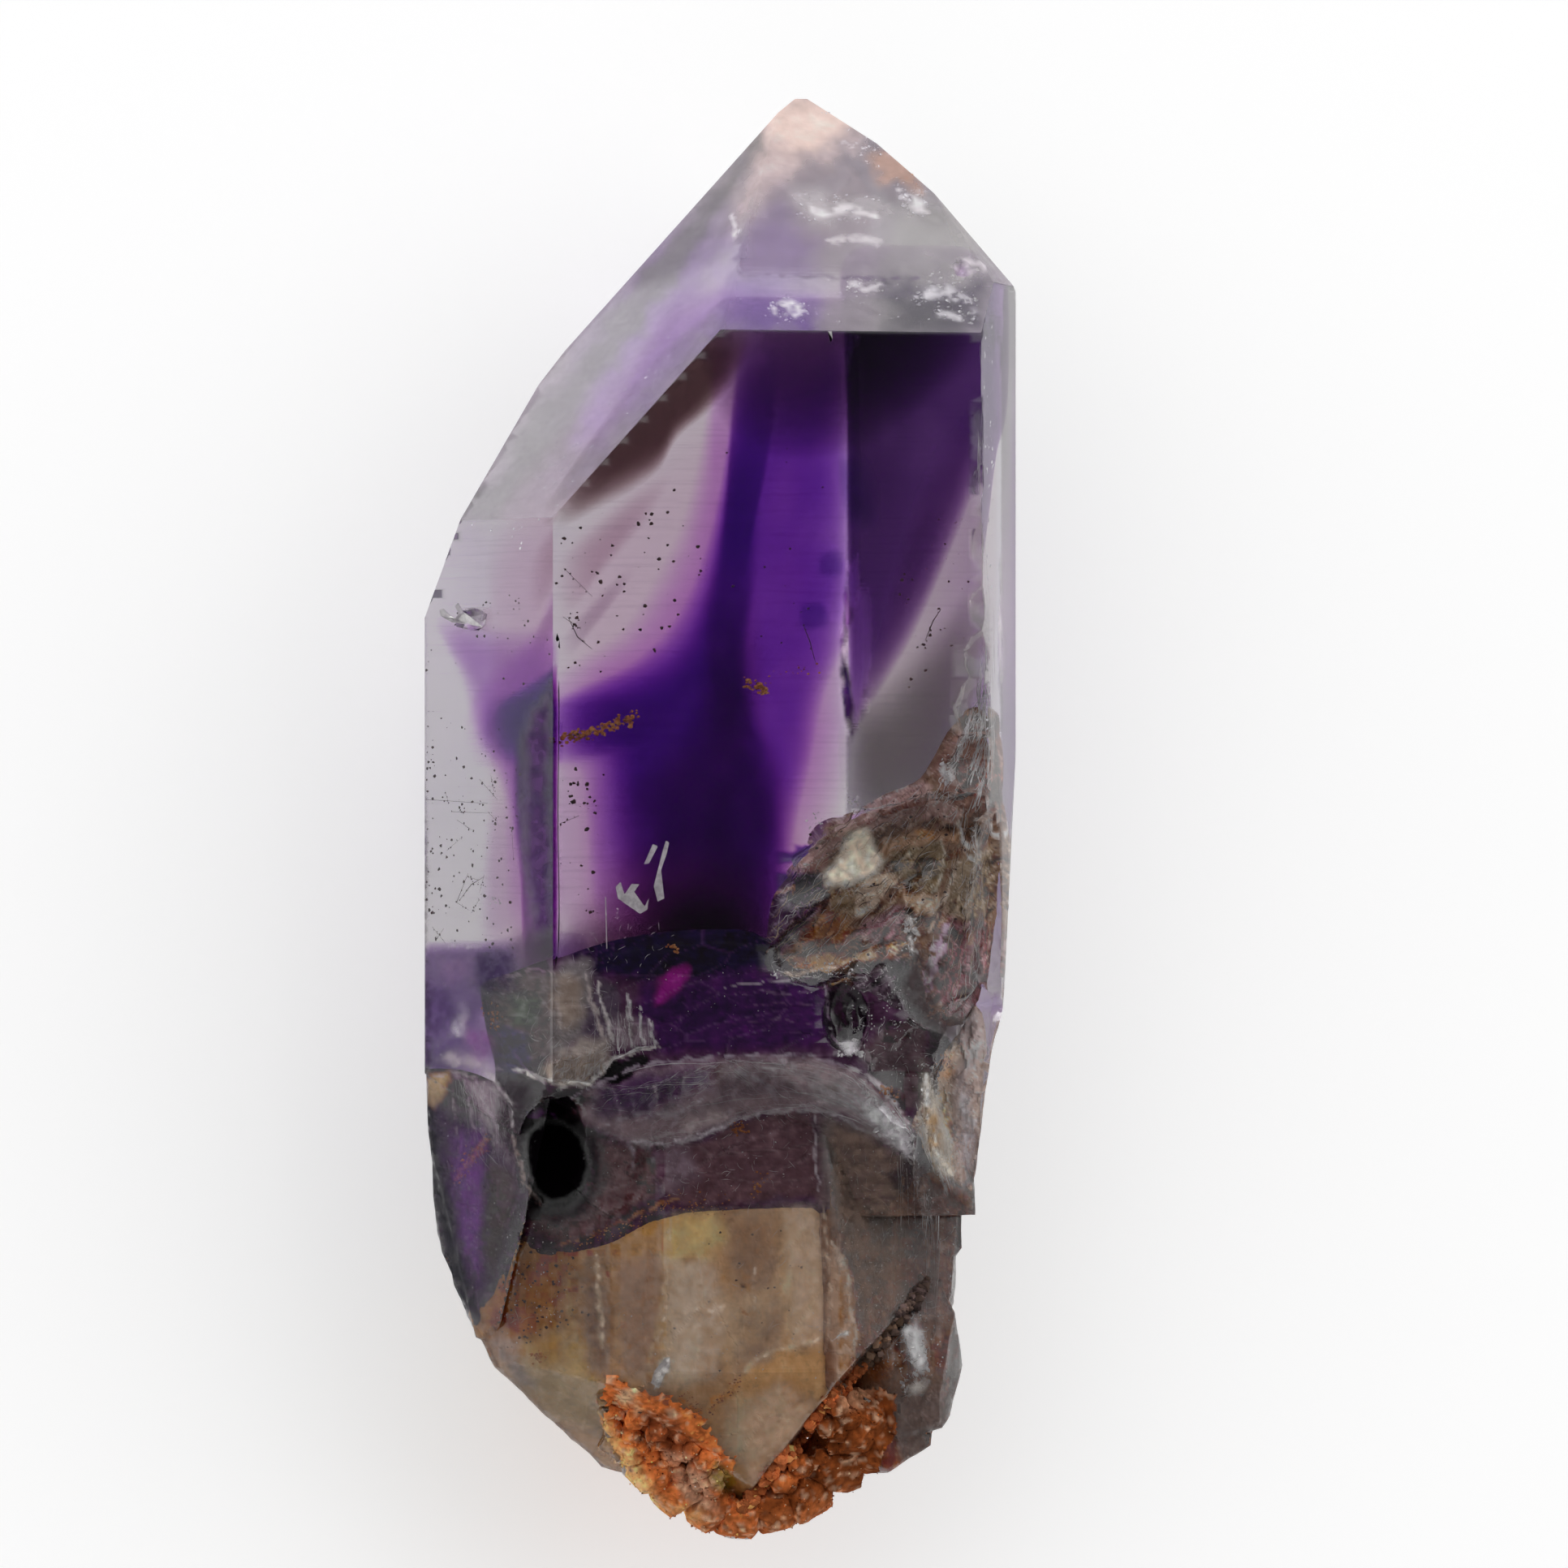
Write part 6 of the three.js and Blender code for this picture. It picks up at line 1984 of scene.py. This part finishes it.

# Veils and bright breaks on the skin of the lower part, as films. Their shade and dark areas are largely
# painted shade laid over the quartz, which also hides its own reflection; their sparkling and shine marks are
# painted highlights
VEIL_REACH = [
    (500, 960), (600, 960), (620, 810), (700, 810), (700, 960), (1230, 960), (1230, 1810), (500, 1810),
]
VEIL_AREAS = [
    ("left dark", (76, 44, 94, 1.00), 1, 12,
     [(646, 905), (656, 880), (680, 846), (680, 1000), (680, 1140), (660, 1150), (652, 1080), (646, 1000)]),
    ("collar", (48, 36, 46, 0.75), 1, 12,
     [(604, 1322), (660, 1332), (652, 1386), (640, 1440), (636, 1500), (622, 1420), (612, 1366)]),
    # Pit side: painted shade on the wall of the hollow
    ("pit side", (40, 28, 36, 0.85), 1, 10,
     [(716, 1390), (738, 1400), (744, 1460), (726, 1500), (680, 1512), (660, 1496), (700, 1488),
      (724, 1462), (728, 1430)]),
    ("lobe shade", (68, 44, 80, 0.62), 1, 16,
     [(524, 1350), (600, 1390), (634, 1440), (640, 1480), (618, 1560), (590, 1620), (560, 1580),
      (536, 1480)]),
    ("lobe violet", (104, 62, 124, 0.60), 1, 12,
     [(556, 1400), (592, 1400), (600, 1500), (590, 1570), (570, 1540)]),
    ("lobe clear", (74, 66, 66, 0.55), 1, 10,
     [(602, 1430), (634, 1450), (632, 1500), (608, 1570), (594, 1540)]),
    ("lobe edge", (36, 34, 44, 0.75), 1, 7,
     [(520, 1360), (534, 1366), (546, 1450), (566, 1540), (588, 1620), (560, 1600), (528, 1450)]),
    ("smoky shade", (128, 106, 94, 0.60), 1, 14,
     [(1016, 1372), (1066, 1390), (1112, 1424), (1128, 1500), (1120, 1590), (1060, 1680), (1052, 1600),
      (1026, 1520)]),
    ("smoky side", (100, 84, 80, 0.45), 1, 14,
     [(1118, 1440), (1180, 1486), (1176, 1640), (1130, 1640), (1120, 1560)]),
    ("curl", (62, 48, 50, 0.80), 1, 9,
     [(1128, 1170), (1150, 1190), (1158, 1240), (1196, 1262), (1180, 1284), (1140, 1268), (1112, 1220)]),
    ("below right", (66, 52, 50, 0.70), 1, 9,
     [(1120, 1424), (1150, 1444), (1200, 1476), (1196, 1500), (1120, 1496), (1096, 1450)]),
    ("foot", (150, 130, 104, 0.60), 1, 16,
     [(616, 1664), (660, 1670), (720, 1700), (748, 1770), (700, 1760), (640, 1712)]),
    ("foot rust", (138, 100, 62, 0.50), 1, 12, [(646, 1650), (690, 1640), (704, 1680), (670, 1690)]),
    ("foot grey", (116, 112, 114, 0.50), 1, 8,
     [(598, 1650), (630, 1664), (660, 1706), (640, 1704), (606, 1676)]),
    ("stem grey", (136, 115, 102, 0.50), 1, 14,
     [(756, 1552), (812, 1550), (812, 1640), (806, 1716), (768, 1690)]),
    ("stem pale", (178, 160, 146, 0.50), 1, 12,
     [(828, 1560), (880, 1552), (896, 1620), (884, 1700), (824, 1700)]),
    ("stem shade", (124, 104, 92, 0.40), 1, 18, [(896, 1496), (956, 1494), (954, 1600), (908, 1596)]),
    ("stem low shade", (110, 94, 86, 0.45), 1, 14, [(900, 1610), (964, 1600), (960, 1660), (906, 1690)]),
    ("stem pink", (180, 156, 140, 0.50), 1, 12,
     [(964, 1486), (1010, 1484), (1018, 1560), (1012, 1660), (978, 1660)]),
    ("stem column", (96, 82, 80, 0.50), 1, 9,
     [(716, 1560), (746, 1540), (752, 1640), (748, 1700), (724, 1680)]),
    ("stem left", (140, 118, 96, 0.45), 1, 12, [(690, 1560), (716, 1560), (716, 1680), (694, 1680)]),
    ("facet pale", (214, 176, 150, 0.60), 1, 14,
     [(900, 1750), (960, 1706), (1004, 1730), (960, 1790), (926, 1830)]),
    ("facet shade", (140, 108, 88, 0.40), 1, 12, [(880, 1740), (902, 1720), (900, 1780), (884, 1790)]),
    ("yellow top", (196, 164, 112, 0.50), 1, 12, [(828, 1496), (880, 1494), (882, 1530), (846, 1546)]),
    ("arch dark", (50, 36, 58, 0.45), 1, 10,
     [(724, 1345), (790, 1322), (850, 1320), (836, 1362), (780, 1382), (738, 1375)]),
    ("arch dark 2", (62, 46, 58, 0.35), 1, 9,
     [(880, 1320), (960, 1318), (984, 1345), (930, 1362), (880, 1372)]),
    ("arch lens", (176, 154, 158, 0.50), 1, 5,
     [(966, 1306), (1010, 1306), (1044, 1318), (1030, 1340), (996, 1344), (960, 1326)]),
    ("arch low", (132, 112, 116, 0.45), 1, 7,
     [(760, 1384), (812, 1374), (872, 1366), (920, 1350), (1000, 1346), (1000, 1362), (920, 1374),
      (860, 1398), (812, 1404), (768, 1400)]),
    ("arch glow", (176, 160, 160, 0.45), 1, 6, [(836, 1384), (880, 1362), (900, 1376), (850, 1402)]),
    ("lobe low", (92, 78, 72, 0.55), 1, 12,
     [(1090, 1690), (1180, 1690), (1176, 1780), (1110, 1800), (1106, 1740)]),
    ("rim fan", (186, 170, 156, 0.50), 1, 9,
     [(664, 1320), (690, 1304), (730, 1294), (752, 1290), (745, 1312), (725, 1332), (690, 1332)]),
    ("left shards", (206, 198, 208, 0.80), 1, 5,
     [(554, 1276), (560, 1254), (567, 1238), (574, 1254), (575, 1276)]),
    ("left ledge", (186, 174, 178, 0.60), 1, 8,
     [(536, 1306), (556, 1296), (590, 1302), (604, 1318), (570, 1318)]),
    ("magenta glow", (150, 84, 150, 0.35), 1, 12,
     [(577, 1262), (600, 1266), (612, 1296), (592, 1304), (576, 1288)]),
    ("dark mottle", (52, 36, 70, 0.55), 1, 12,
     [(584, 1176), (632, 1172), (640, 1222), (612, 1232), (584, 1214)]),
    ("dark mottle 2", (58, 44, 76, 0.45), 1, 14,
     [(524, 1214), (560, 1210), (566, 1250), (540, 1284), (524, 1270)]),
    ("pink mottle", (142, 116, 146, 0.35), 1, 10, [(536, 1180), (582, 1178), (580, 1206), (550, 1212)]),
    ("left rim shade", (44, 36, 50, 0.6), 1, 6, [(520, 1180), (530, 1180), (532, 1310), (520, 1310)]),
    ("arch break", (226, 220, 226, 0.85), 1, 8,
     [(1064, 1354), (1092, 1366), (1122, 1396), (1116, 1420), (1090, 1400), (1066, 1376)]),
    ("crushed edge", (204, 192, 176, 0.60), 1, 12,
     [(1136, 1310), (1150, 1322), (1178, 1444), (1160, 1444), (1136, 1392)]),
    ("gold", (184, 144, 92, 0.55), 1, 8, [(1140, 1368), (1158, 1376), (1160, 1420), (1146, 1414)]),
    ("lilac lobe", (184, 172, 176, 0.40), 1, 12,
     [(1176, 1312), (1206, 1304), (1204, 1430), (1186, 1460), (1176, 1400)]),
    ("cream", (234, 212, 190, 0.90), 1, 5,
     [(1052, 1028), (1066, 1025), (1074, 1038), (1079, 1051), (1086, 1061), (1078, 1073), (1059, 1083),
      (1040, 1087), (1024, 1084), (1018, 1076), (1034, 1054), (1042, 1040)]),
    ("sparkling lobe", (226, 222, 224, 0.80), 1, 7,
     [(1116, 1640), (1128, 1630), (1142, 1650), (1144, 1686), (1130, 1694), (1119, 1668)]),
    ("sparkling lobe low", (216, 208, 200, 0.75), 1, 6,
     [(1114, 1708), (1132, 1702), (1142, 1712), (1124, 1722)]),
    ("pocket sparkle", (222, 216, 222, 0.8), 1, 5,
     [(1030, 1286), (1056, 1280), (1060, 1292), (1050, 1304), (1038, 1296)]),
]
VEIL_STROKES = [
    ("arch ray 1", (160, 146, 156, 0.45), 1, 3.0, [(846, 1312), (842, 1352), (826, 1400)]),
    ("arch ray 2", (160, 146, 156, 0.40), 1, 2.6, [(900, 1306), (906, 1346), (896, 1380)]),
    ("arch ray 3", (170, 156, 162, 0.45), 1, 2.6, [(800, 1318), (812, 1356), (800, 1404)]),
    ("arch ray 4", (150, 136, 150, 0.40), 1, 2.6, [(752, 1338), (764, 1366), (764, 1394)]),
    ("stem crack", (214, 198, 184, 0.60), 1, 2.0, [(836, 1620), (858, 1612), (876, 1618), (892, 1606)]),
    ("stem crack 2", (214, 198, 184, 0.55), 1, 2.0, [(932, 1560), (926, 1590), (934, 1622)]),
    ("stem ridge", (196, 178, 160, 0.60), 1, 3.5, [(736, 1546), (738, 1604), (744, 1664)]),
    ("stem ridge 2", (186, 166, 148, 0.50), 1, 3.0, [(826, 1500), (822, 1580), (812, 1660)]),
    ("stem edge", (196, 174, 154, 0.50), 1, 3.0, [(1016, 1484), (1020, 1560), (1022, 1650)]),
    # Left edge: a painted dark line along the silhouette
    ("left edge", (92, 84, 92, 0.50), 1, 5.0, [(522, 960), (522, 1080), (522, 1180)]),
    ("curtain rim", (236, 226, 218, 0.90), 1, 3.5,
     [(639, 1317), (658, 1325), (691, 1334), (725, 1334), (739, 1322), (758, 1303), (787, 1293),
      (811, 1291)]),
    ("fold 1", (200, 190, 190, 0.65), 1, 4.0, [(760, 1300), (750, 1262), (737, 1215)]),
    ("fold 2", (200, 190, 190, 0.65), 1, 3.0, [(779, 1293), (775, 1255), (772, 1222)]),
    ("fold 3", (200, 190, 190, 0.60), 1, 2.6, [(791, 1291), (790, 1262), (789, 1240)]),
    ("fold 4", (190, 180, 182, 0.60), 1, 2.6, [(807, 1290), (804, 1270), (802, 1254)]),
    ("fold 5", (176, 164, 160, 0.45), 1, 4.0, [(745, 1292), (736, 1262), (728, 1232)]),
    ("face ledge", (186, 180, 188, 0.50), 1, 3.0, [(536, 1168), (560, 1165), (596, 1164)]),
    ("lobe crest", (196, 186, 190, 0.60), 1, 3.0,
     [(556, 1312), (590, 1318), (614, 1334), (630, 1360), (634, 1400)]),
    ("lobe fibre", (168, 154, 166, 0.45), 1, 3.5, [(590, 1334), (606, 1370), (616, 1420)]),
    ("lobe fibre 2", (160, 146, 160, 0.40), 1, 3.0, [(574, 1330), (588, 1372), (598, 1408)]),
    ("pit edge", (150, 134, 130, 0.60), 1, 3.0, [(634, 1400), (640, 1440), (656, 1470), (672, 1482)]),
    ("arch lip", (190, 180, 188, 0.60), 1, 4.0,
     [(772, 1402), (800, 1410), (834, 1408), (866, 1398), (905, 1382)]),
    ("arch lip far", (176, 166, 174, 0.45), 1, 2.6, [(905, 1382), (940, 1368), (1000, 1363), (1036, 1374)]),
    ("drip 1", (150, 138, 150, 0.45), 1, 3.5, [(772, 1400), (781, 1426), (778, 1446)]),
    ("drip 2", (150, 138, 150, 0.40), 1, 3.0, [(800, 1408), (804, 1434)]),
    ("drip 3", (140, 128, 140, 0.40), 1, 3.5, [(728, 1386), (750, 1398), (772, 1404)]),
    ("cross 1", (170, 160, 166, 0.45), 1, 3.0, [(930, 1300), (990, 1326), (1040, 1362)]),
    ("cross 2", (176, 166, 172, 0.45), 1, 2.6, [(960, 1304), (1010, 1330), (1070, 1380)]),
    ("arch top", (176, 166, 174, 0.45), 1, 2.2, [(880, 1300), (940, 1298), (1002, 1302), (1046, 1314)]),
    ("ray", (236, 230, 226, 0.80), 1, 4.0, [(1138, 1322), (1144, 1352), (1142, 1380)]),
    ("ray low", (236, 224, 210, 0.75), 1, 4.0, [(1150, 1400), (1160, 1428), (1176, 1452)]),
    ("lobe shine", (214, 206, 212, 0.60), 1, 7.0, [(1186, 1346), (1194, 1384), (1188, 1410)]),
    ("bevel shine", (196, 184, 186, 0.50), 1, 6.0, [(1204, 1236), (1196, 1262), (1184, 1290)]),
    ("stem flake", (224, 218, 214, 0.85), 1, 6.0, [(824, 1674), (816, 1692), (808, 1708)]),
    ("facet line", (206, 184, 166, 0.60), 1, 2.6, [(917, 1690), (946, 1668), (980, 1656), (1020, 1648)]),
    ("sliver dash", (232, 224, 218, 0.85), 1, 2.6, [(1026, 1652), (1036, 1645), (1046, 1642)]),
    ("sliver line", (176, 156, 142, 0.60), 1, 2.6,
     [(1024, 1530), (1042, 1570), (1052, 1640), (1048, 1694)]),
    ("ledge glow", (214, 192, 176, 0.65), 1, 4.0, [(950, 1196), (976, 1202), (1004, 1196), (1036, 1190)]),
    ("white crumbs", (222, 214, 214, 0.8), 1, 4.0, [(1121, 1132), (1126, 1152), (1122, 1172)]),
]
# Black film in the hollow left of the stem, without gloss: painted shade of the deep hollow, which also hides
# the quartz's own reflection there
PIT_FILM = [
    ("pit", (5, 3, 5, 1.0), 1, 5,
     [(650, 1392), (666, 1380), (694, 1382), (714, 1402), (724, 1434), (717, 1464), (699, 1480),
      (678, 1482), (660, 1464), (650, 1430)]),
]
CLEAR = (128, 128, 128, 0.0)


REACH_MARGIN = 26      # pixels outside an outline that still belong to it


def in_reach(outline):
    """Test for the faces in view inside an outline."""
    def test(centres, normals):
        gap = edge_points(outline, pixel_of(centres))[1]
        return (normals @ BACK > UNDERCUT) & (gap < REACH_MARGIN)

    return test


def veils_with_painted_light():
    p, normal, faces = skin_copy(in_reach(VEIL_REACH), VEIL_EDGE, VEIL_STROKES, VEIL_FINE_EDGE)
    q = pixel_of(p)
    seen = painted(q, CLEAR, VEIL_AREAS, VEIL_STROKES, seed=21, wobble=0.8)
    seen[:, 3] *= 0.45 + 0.55 * smooth(-0.35, 0.35, cloudy(q / 6, 3, 91))
    seen[:, :3] *= np.exp(0.22 * cloudy(q / 5, 2, 93))[:, None]
    faces, p, normal, seen = only_used([f for f in faces if seen[f, 3].max() > 0.04], p, normal, seen)
    film("veils_with_painted_light", p, normal, faces, seen)


# Painted shade: a matt black film over the walls of the hollow
def pit_shade_film():
    p, normal, faces = skin_copy(in_reach(PIT_FILM[0][-1]), VEIL_FINE_EDGE)
    seen = painted(pixel_of(p), CLEAR, PIT_FILM, [], seed=21, wobble=0.6)
    faces, p, normal, seen = only_used([f for f in faces if seen[f, 3].max() > 0.02], p, normal, seen)
    film("pit_shade_film", p, normal, faces, seen, gloss=0.0)


veils_with_painted_light()
pit_shade_film()


# Stage
FLOOR_REACH = 4.0      # from the middle to a side, in metres
FLOOR_GAP = 0.05       # under the crystal, mm
FLOOR_TONE = 0.85
FLOOR_GLOW = 0.40
THROUGH_BOUNCES = 36


def floor():
    reach, z = FLOOR_REACH, -FLOOR_GAP * MM
    mesh = bpy.data.meshes.new("floor")
    corners = [(-reach, -reach, z), (reach, -reach, z), (reach, reach, z), (-reach, reach, z)]
    mesh.from_pydata(corners, [], [(0, 1, 2, 3)])
    obj = bpy.data.objects.new("floor", mesh)
    bpy.context.scene.collection.objects.link(obj)
    m, tree, shader, out = material("floor", base=(FLOOR_TONE,) * 3, rough=0.8)
    shader.inputs["Emission Color"].default_value = (1, 1, 1, 1)
    shader.inputs["Emission Strength"].default_value = FLOOR_GLOW
    mesh.materials.append(m)


def grey_ramp(tree, value, stops):
    """Output of a ramp from stops of a position and its brightness."""
    return colour_ramp(tree, value, [(position, (bright,) * 3) for position, bright in stops])


def sky():
    """Studio surroundings: bright all round the head, dim overhead and past the foot."""
    world = bpy.data.worlds.new("studio")
    bpy.context.scene.world = world
    world.use_nodes = True
    tree = world.node_tree
    back = tree.nodes["Background"]
    coord = tree.nodes.new("ShaderNodeTexCoord")
    split = tree.nodes.new("ShaderNodeSeparateXYZ")
    tree.links.new(coord.outputs["Generated"], split.inputs[0])
    side = tree.nodes.new("ShaderNodeMath")
    side.operation = "MULTIPLY_ADD"
    side.inputs[1].default_value = 0.5
    side.inputs[2].default_value = 0.5
    tree.links.new(split.outputs["Y"], side.inputs[0])
    both = tree.nodes.new("ShaderNodeMath")
    both.operation = "MULTIPLY"
    tree.links.new(grey_ramp(tree, split.outputs["Z"], SKY), both.inputs[0])
    tree.links.new(grey_ramp(tree, side.outputs[0], SKY_SIDE), both.inputs[1])
    tree.links.new(both.outputs[0], back.inputs["Color"])
    back.inputs["Strength"].default_value = SKY_STRENGTH


def camera():
    data = bpy.data.cameras.new("camera")
    data.sensor_width = SENSOR
    data.lens = SENSOR * CAM_DISTANCE / VIEW_WIDTH
    data.clip_start = 0.01
    obj = bpy.data.objects.new("camera", data)
    bpy.context.scene.collection.objects.link(obj)
    rot = Matrix([[RIGHT[i], UP[i], BACK[i]] for i in range(3)]).to_4x4()
    obj.matrix_world = Matrix.Translation(Vector(place(EYE))) @ rot
    bpy.context.scene.camera = obj


def light_paths():
    """Enough bounces for light to pass the crystal and all that is in it."""
    cycles = bpy.context.scene.cycles
    cycles.max_bounces = THROUGH_BOUNCES
    cycles.transmission_bounces = THROUGH_BOUNCES
    cycles.glossy_bounces = 8
    cycles.diffuse_bounces = 3


floor()
sky()
camera()
light_paths()
bpy.context.scene.view_settings.view_transform = "Standard"
